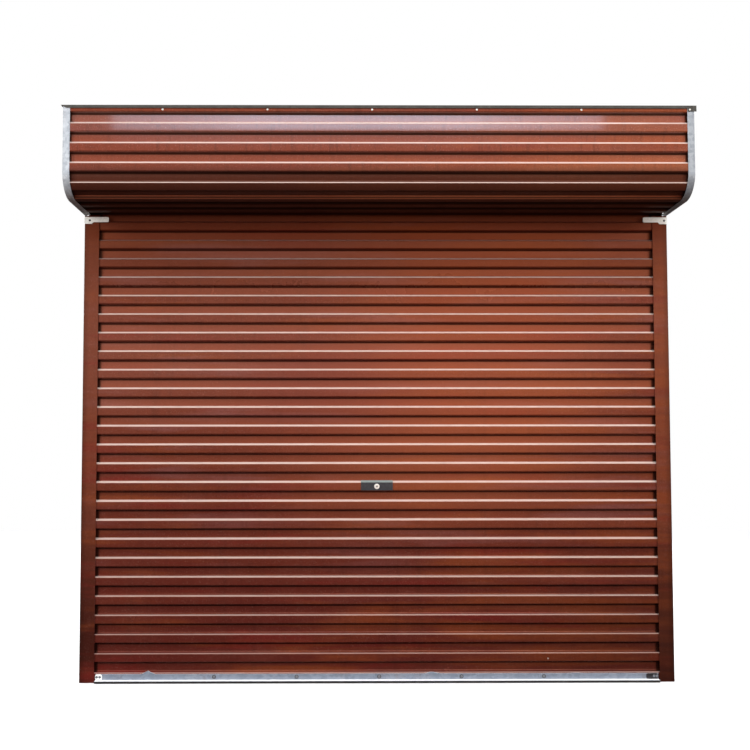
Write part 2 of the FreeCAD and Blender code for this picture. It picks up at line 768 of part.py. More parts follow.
def top_rail():
    """A galvanised angle inside the top edge of the hood's sheet, which the hood screws hold it to."""
    body = new_body("hood_top_rail")
    drawn = new_sketch(body, "YZ_Plane")
    front = cover_front + s.curtain_sheet
    outline(drawn, [
        (front, hood_top - s.top_rail_leg),
        (front, hood_top),
        (front + s.top_rail_depth, hood_top),
        (front + s.top_rail_depth, hood_top - s.top_rail_sheet),
        (front + s.top_rail_sheet, hood_top - s.top_rail_sheet),
        (front + s.top_rail_sheet, hood_top - s.top_rail_leg),
    ])
    pad(body, drawn, 2 * cover_half, symmetric=True)
    cut_hood_holes(body, hood_screw_places() + [tab_screw_place()])


def hood_screw_places():
    return [s.hood_screw_first + index * s.hood_screw_step for index in range(hood_screw_count)]


def cut_hood_holes(body, places):
    drawn = new_sketch(body, "XZ_Plane", s.hood_depth)
    for x in places:
        circle(drawn, x, hood_screw_height, s.hood_screw_head / 2 + s.bolt_fit)
    pocket(body, drawn, 2 * s.rib_depth, symmetric=True)


def tab_screw_place():
    return half_width - s.tab_screw_in


def hood_screws():
    """The screws along the cover's top rib, and one through the cap's deeper end into the right cheek."""
    through = s.curtain_sheet + s.top_rail_sheet + s.hood_screw_head
    places = [(x, cover_front) for x in hood_screw_places()] + [(tab_screw_place(), cap_front)]
    screws = [
        screw(x, y, hood_screw_height, s.hood_screw_head, s.cheek_sheet, s.hood_screw_head / 2, through)
        for x, y in places
    ]
    solid_group("hood_screws", screws)


def flashing():
    """The cap over the hood: upstand at the wall, top, front lip, and the lip's deeper end at the right."""
    body = new_body("hood_flashing")
    reach = half_width + s.flashing_side
    low = hood_top + s.hood_fit
    high = low + s.flashing_sheet
    front = cap_front
    drawn = new_sketch(body, "YZ_Plane")
    outline(drawn, [
        (as_size(0), low),
        (as_size(0), high + s.flashing_back),
        (-s.flashing_sheet, high + s.flashing_back),
        (-s.flashing_sheet, high),
        (front, high),
        (front, high - s.flashing_lip),
        (front + s.flashing_sheet, high - s.flashing_lip),
        (front + s.flashing_sheet, low),
    ])
    pad(body, drawn, 2 * reach, symmetric=True)
    tab = new_sketch(body, "XZ_Plane", -front)
    lip_bottom = high - s.flashing_lip
    outline(tab, rectangle(
        reach - s.flashing_tab_width, lip_bottom - s.flashing_tab_drop, reach, lip_bottom))
    pad(body, tab, s.flashing_sheet, backwards=True)
    cut_hood_holes(body, [tab_screw_place()])
    slant = new_sketch(body, "XZ_Plane", -front)
    outline(slant, [
        (-reach, lip_bottom),
        (s.flashing_slant - reach, lip_bottom),
        (-reach, high - s.flashing_sheet),
    ])
    pocket(body, slant, s.flashing_sheet)


# Axle, springs and drum.


def bracket(side, name):
    """A plate out from the wall that carries one end of the axle, with a flange turned in on the wall."""
    body = new_body(f"{name}_axle_bracket")
    outer = cover_half
    plate = new_sketch(body, "YZ_Plane", side * outer)
    low, high = roll_height - s.bracket_tall / 2, roll_height + s.bracket_tall / 2
    nose = s.bracket_nose
    outline(plate, [
        (as_size(0), low),
        (as_size(0), high),
        (-s.bracket_fixing_inset, high),
        (roll_back, roll_height + nose, nose, 1),
        (roll_back - nose, roll_height, nose, 1),
        (roll_back, roll_height - nose),
        (-s.bracket_fixing_inset, low),
    ])
    circle(plate, roll_back, roll_height, s.axle_radius + s.axle_fit)
    pad(body, plate, s.bracket_plate, backwards=side > 0)
    flange = new_sketch(body, "XY_Plane", low)
    inner = outer - s.bracket_plate
    outline(flange, rectangle(side * inner, -s.bracket_plate, side * (inner - s.bracket_flange), as_size(0)))
    pad(body, flange, s.bracket_tall)
    holes = new_sketch(body, "XZ_Plane")
    for height in (low + s.bracket_fixing_inset, high - s.bracket_fixing_inset):
        circle(holes, side * bracket_fixing_line(), height, s.fixing_radius)
    pocket(body, holes, 4 * s.bracket_plate, symmetric=True)


def bracket_fixing_line():
    return cover_half - s.bracket_plate - s.bracket_flange / 2


def ring_body(label, outer, inner, length, x):
    """A plain ring round the axle, centred at x."""
    body = new_body(label)
    drawn = new_sketch(body, "YZ_Plane")
    circle(drawn, 0, 0, outer)
    circle(drawn, 0, 0, inner)
    pad(body, drawn, length, symmetric=True)
    place(body, x, roll_back, roll_height)
    return body


def axle():
    ring_body("axle", s.axle_radius, s.axle_radius - s.axle_wall, 2 * (cover_half - s.hood_fit), 0)


def collar(side, name):
    """A collar with a clamping lug, which holds the axle still against its bracket."""
    inner = cover_half - s.bracket_plate
    radius = s.axle_radius + s.collar_wall
    body = ring_body(f"{name}_axle_collar", radius, s.axle_radius + s.axle_fit, s.collar_width,
                     side * (inner - s.axle_fit - s.collar_width / 2))
    lug = new_sketch(body, "YZ_Plane")
    half = s.collar_wall
    outline(lug, [
        (-half, radius - s.collar_wall / 2),
        (half, radius - s.collar_wall / 2),
        (half, radius + s.collar_wall - half / 2, half / 2, 1),
        (half / 2, radius + s.collar_wall),
        (-half / 2, radius + s.collar_wall, half / 2, 1),
        (-half, radius + s.collar_wall - half / 2),
    ])
    pad(body, lug, s.collar_width, symmetric=True)


def drum_wheel(name, x):
    """A pressed wheel: rim, thin web with openings, and a hub over its nylon bush."""
    body = new_body(f"{name}_drum_wheel")
    half_rim, half_web = s.wheel_width / 2, s.wheel_sheet / 2
    half_hub = s.bush_length / 2
    hub = hub_bore + s.hub_wall
    rim = wheel_radius - s.wheel_sheet
    drawn = new_sketch(body, "XZ_Plane")
    outline(drawn, [
        (-half_hub, hub_bore),
        (half_hub, hub_bore),
        (half_hub, hub),
        (half_web, hub),
        (half_web, rim),
        (half_rim, rim),
        (half_rim, wheel_radius),
        (-half_rim, wheel_radius),
        (-half_rim, rim),
        (-half_web, rim),
        (-half_web, hub),
        (-half_hub, hub),
    ])
    turned = body.newObject("PartDesign::Revolution", "Revolution")
    turned.Profile = drawn
    turned.ReferenceAxis = (origin_feature(body, "X_Axis"), [""])
    turned.Angle = 360
    document.recompute()
    hole = new_sketch(body, "YZ_Plane")
    circle(hole, 0, (hub + rim) / 2, s.wheel_hole)
    cut = pocket(body, hole, 2 * s.wheel_sheet, symmetric=True)
    pattern = body.newObject("PartDesign::PolarPattern", "Pattern")
    pattern.Originals = [cut]
    pattern.Axis = (origin_feature(body, "X_Axis"), [""])
    pattern.Angle = 360
    pattern.Occurrences = wheel_hole_count
    body.Tip = pattern
    place(body, x, roll_back, roll_height)


def drum():
    far = half_width - s.wheel_inset
    for name, x in (("left", -far), ("centre", as_size(0)), ("right", far)):
        drum_wheel(name, x)
        ring_body(f"{name}_drum_bush", hub_bore, bush_radius, s.bush_length, x)
    hub_end = s.bush_length / 2 + s.spring_end_gap
    for side, name in ((-1, "left"), (1, "right")):
        ring_body(f"{name}_torsion_spring", s.spring_radius, s.axle_radius + s.hood_fit, s.spring_length,
                  side * (far - hub_end - s.spring_length / 2))


# Bottom rail.


def bottom_rail():
    """A galvanised angle across the foot of the curtain, its lip forward between the guides."""
    body = new_body("bottom_rail")
    drawn = new_sketch(body, "YZ_Plane")
    back, front = curtain_front, curtain_front - s.rail_sheet
    outline(drawn, [
        (front - s.rail_lip, s.seal_height),
        (back, s.seal_height),
        (back, rail_top),
        (front, rail_top),
        (front, lip_top),
        (front - s.rail_lip, lip_top),
    ])
    pad(body, drawn, 2 * rail_half(), symmetric=True)
    cut_rail_holes(body, bolt_places())


def rail_half():
    return half_width - s.guide_face - s.rail_side_gap


def bottom_seal():
    """A soft rubber strip under the rail, rounded where it meets the floor."""
    body = new_body("bottom_seal")
    drawn = new_sketch(body, "YZ_Plane")
    back = curtain_front
    front = back - s.seal_width
    bend = s.seal_height * 0.6
    outline(drawn, [
        (front, s.seal_height),
        (front, bend, bend, 1),
        (front + bend, as_size(0)),
        (back - bend, as_size(0), bend, 1),
        (back, bend),
        (back, s.seal_height),
    ])
    pad(body, drawn, 2 * rail_half(), symmetric=True)


def rail_bolts():
    through = s.rail_sheet + s.curtain_sheet + s.tongue_thick + s.rail_bolt_shank
    bolts = [
        screw(x, curtain_front - s.rail_sheet, bolt_height(), s.rail_bolt_head, s.rail_bolt_shank,
              s.rail_bolt_shank, through, corners=6)
        for x in bolt_places()
    ]
    solid_group("rail_bolts", bolts)


def rail_tongue(side, name):
    """A flat bar behind the rail's end that carries the foot of the curtain into the guide."""
    body = new_body(f"{name}_rail_tongue")
    back = curtain_front + s.curtain_sheet
    drawn = new_sketch(body, "XZ_Plane", -back)
    outer = guide_inside - s.tongue_end_gap
    inner = outer - s.tongue_length
    low = bolt_height() - s.tongue_height / 2
    high = low + s.tongue_height
    bend = s.stop_round
    points = [
        (inner, low),
        (outer - bend, low, bend, 1),
        (outer, low + bend),
        (outer, high - bend, bend, 1),
        (outer - bend, high),
        (inner, high),
    ]
    outline(drawn, mirrored(points, side))
    pad(body, drawn, s.tongue_thick, backwards=True)
    ends = bolt_places()[rail_bolt_count:]
    cut_rail_holes(body, ends[:2] if side < 0 else ends[2:])


# Lock.


def lock_plate():
    body = new_body("lock_plate")
    drawn = new_sketch(body, "XZ_Plane", -curtain_front)
    half, tall, bend = s.lock_plate_width / 2, s.lock_plate_height / 2, s.lock_plate_corner
    low, high = lock_height - tall, lock_height + tall
    outline(drawn, [
        (bend - half, low),
        (half - bend, low, bend, 1),
        (half, low + bend),
        (half, high - bend, bend, 1),
        (half - bend, high),
        (bend - half, high, bend, 1),
        (-half, high - bend),
        (-half, low + bend, bend, 1),
    ])
    circle(drawn, 0, lock_height, s.key_radius + s.key_fit)
    pad(body, drawn, s.lock_plate_thick)


def lock_backplate():
    """A plate behind the curtain, screwed to the valleys above and below the lock's rib."""
    body = new_body("lock_backplate")
    drawn = new_sketch(body, "XZ_Plane", -curtain_back)
    half, tall = s.backplate_width / 2, s.backplate_height / 2
    outline(drawn, rectangle(-half, lock_height - tall, half, lock_height + tall))
    circle(drawn, 0, lock_height, s.key_radius + s.key_fit)
    pad(body, drawn, s.backplate_thick, backwards=True)


def key_cylinder():
    """The barrel that the key turns, through plate, curtain and backplate, with its keyway in front."""
    front = curtain_front - s.lock_plate_thick - s.key_proud
    body = new_body("key_cylinder")
    drawn = new_sketch(body, "XZ_Plane", -front)
    circle(drawn, 0, 0, s.key_radius)
    pad(body, drawn, curtain_back + s.backplate_thick - front, backwards=True)
    tail = new_sketch(body, "XZ_Plane", -front)
    circle(tail, 0, 0, s.tongue_low - s.pin_play)
    pad(body, tail, cam_front - front, backwards=True)
    slot = new_sketch(body, "XZ_Plane", -front)
    half, tall = s.key_slot_width / 2, s.key_slot_height / 2
    outline(slot, rectangle(-half, -tall, half, tall))
    pocket(body, slot, s.key_slot_depth)
    place(body, z=lock_height)


def lock_cam():
    """A round cam on the barrel's tail. Its two pins draw the lock bars in and push them out."""
    body = new_body("lock_cam")
    drawn = new_sketch(body, "XZ_Plane", -cam_front)
    circle(drawn, 0, 0, s.cam_radius)
    pad(body, drawn, s.cam_thick, backwards=True)
    pins = new_sketch(body, "XZ_Plane", -cam_front)
    along = s.cam_pin_circle / as_size(2).root()
    circle(pins, along, along, s.cam_pin)
    circle(pins, -along, -along, s.cam_pin)
    pad(body, pins, s.bar_thick)
    place(body, z=lock_height)


def thumb_turn():
    """The handle on the inside: a flat lever across the cam."""
    body = new_body("inside_thumb_turn")
    drawn = new_sketch(body, "XZ_Plane", -cam_back)
    half, tall = s.turn_length / 2, s.turn_height / 2
    outline(drawn, [
        (tall - half, -tall),
        (half - tall, -tall, tall, 1),
        (half, 0, tall, 1),
        (half - tall, tall),
        (tall - half, tall, tall, 1),
        (-half, 0, tall, 1),
    ])
    pad(body, drawn, s.turn_thick, backwards=True)
    place(body, z=lock_height)


def lock_bar(side, name):
    """A flat bar to the guide. Its inner end is stepped, up or down, to its own pin of the cam."""
    body = new_body(f"{name}_lock_bar")
    drawn = new_sketch(body, "XZ_Plane", -bar_front)
    up = -side
    along = s.cam_pin_circle / as_size(2).root()
    inner = along + s.cam_pin + 2 * s.pin_play + s.bar_thick
    end = half_width - s.bar_end
    half = s.bar_height / 2
    points = [
        (-inner, up * s.tongue_low),
        (s.bar_inner, up * s.tongue_low),
        (s.bar_inner, -up * half),
        (end, -up * half),
        (end, up * half),
        (s.bar_inner + s.tongue_high - half, up * half),
        (s.bar_inner, up * s.tongue_high),
        (-inner, up * s.tongue_high),
    ]
    outline(drawn, [(side * x, y) for x, y in points])
    slot_half = s.cam_pin + s.pin_play
    outline(drawn, rectangle(
        side * (-along - slot_half), up * (along - slot_half),
        side * (-along + slot_half), up * (s.cam_pin_circle + slot_half)))
    pad(body, drawn, s.bar_thick, backwards=True)
    place(body, z=lock_height)


def bar_clips():
    """Pressed clips on the back of the curtain, from valley to valley, with a loop over the bar."""
    clear = s.bar_height / 2 + s.clip_play
    loop = clear + s.clip_sheet
    tall = s.clip_height / 2
    foot = curtain_back + s.clip_sheet
    top = bar_back + s.clip_play
    body = new_body("lock_bar_clips")
    for index in range(clip_count):
        for side in (-1, 1):
            x = side * (half_width - s.clip_inset) * (index + 1) / clip_count
            drawn = new_sketch(body, "YZ_Plane", x)
            outline(drawn, [
                (curtain_back, lock_height - tall),
                (foot, lock_height - tall),
                (foot, lock_height - loop),
                (top + s.clip_sheet, lock_height - loop),
                (top + s.clip_sheet, lock_height + loop),
                (foot, lock_height + loop),
                (foot, lock_height + tall),
                (curtain_back, lock_height + tall),
            ])
            outline(drawn, rectangle(foot, lock_height - clear, top, lock_height + clear))
            pad(body, drawn, s.clip_width, symmetric=True)


for side, name in ((-1, "left"), (1, "right")):
    guide(side, name)
    wear_strip(side, name)
    stop_arm(side, name)
    keeper(side, name)
    cheek(side, name)
    bracket(side, name)
    collar(side, name)
    rail_tongue(side, name)
    lock_bar(side, name)
stop_screws()
hood_cover()
top_rail()
hood_screws()
flashing()
axle()
drum()
curtain()
curtain_roll()
bottom_rail()
bottom_seal()
rail_bolts()
lock_plate()
lock_backplate()
key_cylinder()
lock_cam()
thumb_turn()
bar_clips()
document.recompute()

for item in document.Objects:
    if "Invalid" in item.State or "Error" in item.State:
        raise RuntimeError(f"{item.Label} ({item.Name}) failed: {item.State}")
for piece in nodes:
    if piece.Shape.isNull() or not piece.Shape.isValid() or not piece.Shape.Solids:
        raise RuntimeError(f"{piece.Label} has no valid solid")

os.makedirs("parts", exist_ok=True)
for piece in nodes:
    piece.Shape.exportStep(f"parts/{piece.Label}.step")
    box = piece.Shape.BoundBox
    across, deep = f"x {box.XMin:.1f} {box.XMax:.1f}", f"y {box.YMin:.1f} {box.YMax:.1f}"
    tall = f"z {box.ZMin:.1f} {box.ZMax:.1f}"
    print(f"{piece.Label}: {len(piece.Shape.Solids)} solid, {across}, {deep}, {tall}")
print(f"{len(nodes)} nodes")
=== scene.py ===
import math
import bmesh
import bpy
from mathutils import Matrix, Vector


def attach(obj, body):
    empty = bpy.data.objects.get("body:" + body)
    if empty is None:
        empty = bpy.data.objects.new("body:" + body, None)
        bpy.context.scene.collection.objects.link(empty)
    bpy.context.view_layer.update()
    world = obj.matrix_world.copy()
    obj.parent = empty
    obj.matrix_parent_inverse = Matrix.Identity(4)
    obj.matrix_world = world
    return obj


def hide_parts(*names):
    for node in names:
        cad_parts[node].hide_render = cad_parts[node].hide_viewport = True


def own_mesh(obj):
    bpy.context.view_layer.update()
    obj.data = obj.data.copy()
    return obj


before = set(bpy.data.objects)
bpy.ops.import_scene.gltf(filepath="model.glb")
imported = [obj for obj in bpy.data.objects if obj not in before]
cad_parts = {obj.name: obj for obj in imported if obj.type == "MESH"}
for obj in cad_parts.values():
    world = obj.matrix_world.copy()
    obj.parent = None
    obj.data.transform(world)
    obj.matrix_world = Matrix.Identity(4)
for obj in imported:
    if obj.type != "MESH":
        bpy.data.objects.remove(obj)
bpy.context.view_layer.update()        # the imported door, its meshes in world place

up, outward, across = Vector((0, 0, 1)), Vector((0, -1, 0)), Vector((1, 0, 0))
ribPitch = 0.086
axleY, axleZ = -0.1653, 2.332
lockHeight = 0.8845
touch = 1e-5        # a corner this near to a plane lies on it
toFront = (math.radians(90), 0, 0)        # turns a piece made along Z so that it points forward
toSide = (0, math.radians(90), 0)
print("frame loaded:", len(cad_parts), "nodes")


# Camera, where the photographer stood: left of the middle, at chest height, looking slightly up.
camera = {"place": (-0.171, -3.969, 1.070), "up": 2.555, "roll": 0.051, "turn": -0.317, "lens": 41.158,
          "shift": (0.0410, 0.0435)}
bpy.ops.object.camera_add(location=camera["place"])
view = bpy.context.object
view.name = "photoCamera"
view.rotation_euler = (math.radians(90 + camera["up"]), math.radians(camera["roll"]), math.radians(camera["turn"]))
view.data.sensor_width = 36
view.data.lens = camera["lens"]
view.data.shift_x, view.data.shift_y = camera["shift"]
bpy.context.scene.camera = view


# Shader tools.
def shade(red, green, blue):
    # a colour as seen on screen, made linear for a socket
    parts = [value / 255 for value in (red, green, blue)]
    return (*[part / 12.92 if part <= 0.04045 else ((part + 0.055) / 1.055) ** 2.4 for part in parts], 1)


class Signal:
    # one output of a node, which can be used in sums
    def __init__(self, finish, socket):
        self.finish, self.socket = finish, socket

    def sum(self, operation, first, second):
        return self.finish.add("Math", {"operation": operation}, {0: first, 1: second})

    def __add__(self, other):
        return self.sum("ADD", self, other)

    def __radd__(self, other):
        return self.sum("ADD", other, self)

    def __sub__(self, other):
        return self.sum("SUBTRACT", self, other)

    def __rsub__(self, other):
        return self.sum("SUBTRACT", other, self)

    def __mul__(self, other):
        return self.sum("MULTIPLY", self, other)

    def __rmul__(self, other):
        return self.sum("MULTIPLY", other, self)

    def __truediv__(self, other):
        return self.sum("DIVIDE", self, other)

    def highest(self, other):
        return self.sum("MAXIMUM", self, other)


class Finish:
    # one material or world: its nodes are added by add(), and surface() fills the shader's sockets
    def __init__(self, name, kind="materials", shader="Principled BSDF"):
        self.owner = getattr(bpy.data, kind).new(name)
        self.owner.use_nodes = True
        self.tree = self.owner.node_tree
        self.shader = self.tree.nodes[shader]
        self.place = self.add("TexCoord", {}, {}, "Object")

    def add(self, kind, settings, inputs, output=0):
        node = self.tree.nodes.new("ShaderNode" + kind)
        for name, value in settings.items():
            setattr(node, name, value)
        for name, value in inputs.items():
            self.join(node.inputs[name], value)
        return Signal(self, node.outputs[output])

    def join(self, socket, value):
        if isinstance(value, Signal):
            self.tree.links.new(value.socket, socket)
        else:
            socket.default_value = value

    def stretch(self, x, y, z, shift=0.0):
        return self.add("Mapping", {}, {"Vector": self.place, "Scale": (x, y, z), "Location": (shift, 0, 0)})

    def noise(self, scale, detail=3.0, roughness=0.55, vector=None):
        return self.add("TexNoise", {}, {"Vector": vector or self.place, "Scale": scale, "Detail": detail,
                                         "Roughness": roughness})

    def cells(self, scale):
        return self.add("TexVoronoi", {}, {"Vector": self.place, "Scale": scale}, "Color")

    def span(self, value, low, high, toLow=0.0, toHigh=1.0):
        return self.add("MapRange", {"interpolation_type": "SMOOTHSTEP"},
                        {"Value": value, "From Min": low, "From Max": high, "To Min": toLow, "To Max": toHigh})

    def mix(self, factor, first, second):
        return self.add("Mix", {"data_type": "RGBA"}, {0: factor, 6: first, 7: second}, 2)

    def single(self, operation, value):
        return self.add("Math", {"operation": operation}, {0: value})

    def near(self, value, middle, far, close):
        # 1 where the value is closer to the middle than close, falling to 0 at far
        return self.span(self.single("ABSOLUTE", value - middle), far, close)

    def axis(self, vector, name):
        return self.add("SeparateXYZ", {}, {"Vector": vector}, name)

    def facing(self, name):
        return self.axis(self.add("NewGeometry", {}, {}, "Normal"), name)

    def bump(self, height, strength, distance, under=None):
        inputs = {"Height": height, "Strength": strength, "Distance": distance}
        if under:
            inputs["Normal"] = under
        return self.add("Bump", {}, inputs)

    def surface(self, **inputs):
        for name, value in inputs.items():
            self.join(self.shader.inputs[name.replace("_", " ")], value)
        return self.owner


finishes = {}


# Gloss paint of the door: deep and warm tone by height, partly painted light, tints along the ribs, the dirt and dust
# on it, painted shade under the ribs, at the side edges and under the hood, and painted highlights on what faces up.
# A pair of numbers in a span is where the effect starts and where it is whole.
def paintFinish(name, look):
    paint = Finish(name)
    side, depth, height = (paint.axis(paint.place, letter) for letter in "XYZ")
    tilt = paint.facing("Z")
    broad = paint.noise(1.1, 2.0)
    cloudy = paint.noise(5.0, 5.0, 0.6)
    runs = paint.noise(2.4, 4.0, 0.6, paint.stretch(7, 7, 0.4))       # rain tracks, long in height
    drips = paint.noise(1.0, 3.0, 0.6, paint.stretch(60, 20, 7))
    grain = paint.noise(70.0, 3.0, 0.6, paint.stretch(0.5, 1, 1.4))
    specks = paint.span(paint.noise(210.0, 2.0, 0.7), 0.56, 0.72)
    bands = [paint.noise(1.0, 3.0, 0.6, paint.stretch(1.0, 0.4, 10.5, shift)) for shift in (3.7, 11.3, 23.9)]
    # deep low and warm higher up: partly the paint's own tone, partly painted light, the lower door darker as it gets
    # less light
    heightToneAndLight = paint.span(height + broad * 0.5, look["fadeLow"], look["fadeHigh"])
    colour = paint.mix(heightToneAndLight, look["deep"], look["warm"])
    # tints lie along the ribs, each a metre or so long; the extra ochre towards the right is painted glow of warm
    # light reflected there
    ochre = paint.span(bands[0] + paint.span(side, -1.2, 1.2, -look["lean"], look["lean"]), 0.46, 0.66)
    colour = paint.mix(ochre * look["ochreShare"], colour, look["ochre"])
    colour = paint.mix(paint.span(bands[1], 0.5, 0.68) * look["roseShare"] * heightToneAndLight, colour, look["rose"])
    colour = paint.mix(paint.span(bands[2], 0.52, 0.7) * look["redShare"], colour, look["red"])
    colour = paint.mix(paint.span(cloudy, 0.4, 0.75) * look["mottle"], colour, look["bloom"])
    colour = paint.mix(paint.span(runs, 0.5, 0.8) * look["tracks"], colour, look["dirt"])
    colour = paint.mix(paint.span(drips, 0.5, 0.75) * look["drips"], colour, look["dirt"])
    colour = paint.mix(paint.span(grain, 0.45, 0.75) * look["grain"], colour, look["dirt"])
    colour = paint.mix(specks * look["specks"], colour, look["speckColour"])
    # painted shade: the top of the curtain, and the part of the hood that curves under, are darkened where the hood
    # shades them
    hoodShadeLow, hoodShadeHigh = look["hoodShade"]
    # a slope under the hood that faces forward is kept out of that painted shade
    litUnderSlope = paint.span(height, look["litUnderSlope"] + 0.005, look["litUnderSlope"] - 0.005) * paint.span(tilt, -0.5, -0.3)
    hoodShade = paint.span(height, hoodShadeLow, hoodShadeHigh) * (1 - litUnderSlope) * look["hoodShadeShare"]
    colour = paint.mix(hoodShade, colour, look["hoodShadeColour"])
    # painted light: the valleys are lightened from about 0.8 m up, as if lit as brightly as the ribs
    valleyLight = paint.span(depth, look["valleyLight"] - 0.002, look["valleyLight"] + 0.002) * paint.span(height, 0.8, 1.35)
    colour = paint.mix(valleyLight * (1 - hoodShade) * look["valleyLightShare"], colour, look["valleyLightColour"])
    # painted highlight: that slope is lightened towards ochre where it catches the light
    colour = paint.mix(litUnderSlope * 0.4, colour, look["ochre"])
    # wide patches: a lighter one in the middle and an orange one at the upper right are painted glow of warm light
    # reflected there; the one at the left is redder
    for middle, halfWidth, centre, halfHeight, share, tint in look["patches"]:
        patch = paint.near(side, middle, halfWidth, 0.1) * paint.near(height, centre, halfHeight, 0.06)
        colour = paint.mix(patch * share, colour, tint)
    # darker towards the lower right
    corner = paint.span(side, 0.0, 1.3) * paint.span(height, 0.8, 0.15)
    colour = paint.mix(corner * look["corner"], colour, look["dirt"])
    # painted shade: dark under each rib, and at the side edges by the guides and the hood's cheeks
    phase = paint.single("FRACT", (height - look["seam"]) / ribPitch)
    groove = paint.span(phase, 0.145, 0.185) * paint.span(phase, 0.285, 0.24) * look["groove"]
    edgeLow, edgeHigh, edgeFront, edgeBack, edgeShare = look["edge"]
    edge = paint.span(paint.single("ABSOLUTE", side), edgeLow, edgeHigh) * paint.span(depth, edgeFront, edgeBack)
    paintedShade = groove.highest(edge * edgeShare)
    colour = paint.mix(paintedShade, colour, look["paintedShade"])
    # dust and a painted highlight lie on what faces up, to the edge of each rib, thinner and redder near the ground
    litLedge = paint.span(tilt, look["dustHighlightFrom"], look["dustHighlightTo"])
    innerLow, innerHigh = look["dustHighlightHeights"]
    inner = paint.span(height, innerLow, innerHigh, look["dustHighlightLow"], look["dustHighlightHigh"])
    litLedge = litLedge * paint.span(depth, inner + 0.002, inner - 0.002)
    topLow, topHigh = look["dustHighlightTop"]
    amount = paint.span(height, 0.1, 1.0, look["dustAndHighlight"] * 0.45, look["dustAndHighlight"]) * (0.8 + runs * 0.4)
    # painted shadow: the highlight fades out under the hood
    amount = amount * paint.span(height, topHigh, topLow)
    colour = paint.mix(litLedge * amount, colour, look["dustHighlightColour"])
    rough = look["rough"] + cloudy * 0.1 + litLedge * 0.2 + hoodShade * look["hoodShadeRough"]
    coat = (1 - hoodShade) * (1 - paintedShade) * (0.75 + specks * 0.25) * look["coat"]
    coat = coat * paint.span(height, look["sheen"] - 0.02, look["sheen"] + 0.02, look["sheenBelow"], 1.0)
    sheenLow, sheenHigh = look["sheenEnd"]
    coat = coat * paint.span(height, sheenHigh, sheenLow)
    swell = paint.bump(paint.noise(4.0, 1.0), look["swell"], 0.01)
    peel = paint.bump(paint.noise(105.0, 3.0, 0.65, paint.stretch(1, 1, 0.4)), look["peel"], 0.0012, swell)
    finishes[name] = paint.surface(Base_Color=colour, Roughness=rough, Normal=peel, Specular_IOR_Level=look["gloss"],
                                   Specular_Tint=look["tint"], Coat_Weight=coat, Coat_Roughness=look["coatRough"],
                                   Coat_IOR=look["coatIOR"])


# heights that no piece reaches: an effect that starts there is off, and one that ends there is never cut short
above, below = (5.0, 6.0), -1.0
curtainPaint = {"deep": shade(80, 30, 24), "warm": shade(92, 39, 27), "bloom": shade(104, 58, 48),
                "ochre": shade(112, 52, 26), "ochreShare": 0.75, "rose": shade(104, 62, 60), "roseShare": 0.8,
                "red": shade(100, 28, 25), "redShare": 0.75, "dirt": shade(42, 18, 14), "paintedShade": shade(22, 7, 6),
                "mottle": 0.15, "tracks": 0.25, "drips": 0.1, "grain": 0.2, "specks": 0.08,
                "speckColour": shade(190, 150, 138), "fadeLow": 0.35, "fadeHigh": 1.3,
                "hoodShade": (1.7, 2.05), "hoodShadeShare": 0.45, "hoodShadeColour": shade(86, 30, 10), "hoodShadeRough": 0.2,
                "litUnderSlope": below, "corner": 0.4,
                "valleyLight": -0.0215, "valleyLightShare": 0.3, "valleyLightColour": shade(142, 76, 54),
                "patches": [(0.3, 1.1, 0.98, 0.4, 0.34, shade(150, 82, 54)),
                            (0.45, 0.8, 1.6, 0.8, 0.42, shade(120, 48, 16)),
                            (-0.25, 0.55, 1.34, 0.34, 0.45, shade(98, 38, 32))],
                "lean": 0.06, "sheen": below, "sheenBelow": 1.0, "sheenEnd": (1.75, 2.0), "coatIOR": 1.5,
                "seam": 0.0675, "groove": 0.76, "edge": (1.268, 1.276, -0.027, -0.021, 0.92),
                "dustHighlightColour": shade(232, 214, 204), "dustAndHighlight": 0.57, "dustHighlightFrom": 0.45, "dustHighlightTo": 0.75,
                "dustHighlightHeights": (0.05, 0.8), "dustHighlightLow": -0.0262, "dustHighlightHigh": -0.0170, "dustHighlightTop": (1.74, 2.16),
                "rough": 0.2, "swell": 0.14, "peel": 0.12, "gloss": 0.6, "tint": shade(255, 170, 130), "coat": 0.3,
                "coatRough": 0.18}
hoodPaint = dict(curtainPaint, warm=shade(108, 47, 31), deep=shade(96, 40, 28), fadeLow=2.3, fadeHigh=2.62,
                 ochre=shade(128, 62, 32), ochreShare=0.65, lean=0.14, litUnderSlope=2.16, valleyLight=-0.3535, valleyLightShare=0.2,
                 corner=0.0, patches=[], sheen=2.405, sheenBelow=0.25, sheenEnd=(2.4955, 2.4995), coatIOR=1.9,
                 roseShare=0.3, redShare=0.5, drips=0.35, specks=0.25, mottle=0.1, tracks=0.2,
                 hoodShade=(2.28, 2.222), hoodShadeShare=0.8, hoodShadeColour=shade(34, 13, 10), hoodShadeRough=0.4, seam=0.0655,
                 groove=0.9, edge=(1.312, 1.32, -0.358, -0.352, 0.9), coat=1.0, coatRough=0.07, rough=0.26, gloss=0.4,
                 dustAndHighlight=0.56, dustHighlightFrom=0.25, dustHighlightTo=0.42, dustHighlightHeights=(2.21, 2.25), dustHighlightLow=-0.3475, dustHighlightHigh=0.5,
                 dustHighlightTop=above, peel=0.45)
guidePaint = dict(curtainPaint, deep=shade(54, 20, 15), warm=shade(96, 45, 30), dustAndHighlight=0.3, rough=0.32, coat=0.15,
                  dustHighlightHeights=above, dustHighlightLow=0.5, fadeLow=0.45, fadeHigh=1.3, groove=0.0, valleyLightShare=0.0,
                  roseShare=0.35, gloss=0.4, patches=[], corner=0.65, hoodShade=(1.75, 2.1), hoodShadeShare=0.7,
                  edge=(1.318, 1.352, -1.0, -0.9, 0.5))
rollPaint = dict(curtainPaint, groove=0.0, hoodShade=above, dustHighlightTop=above)
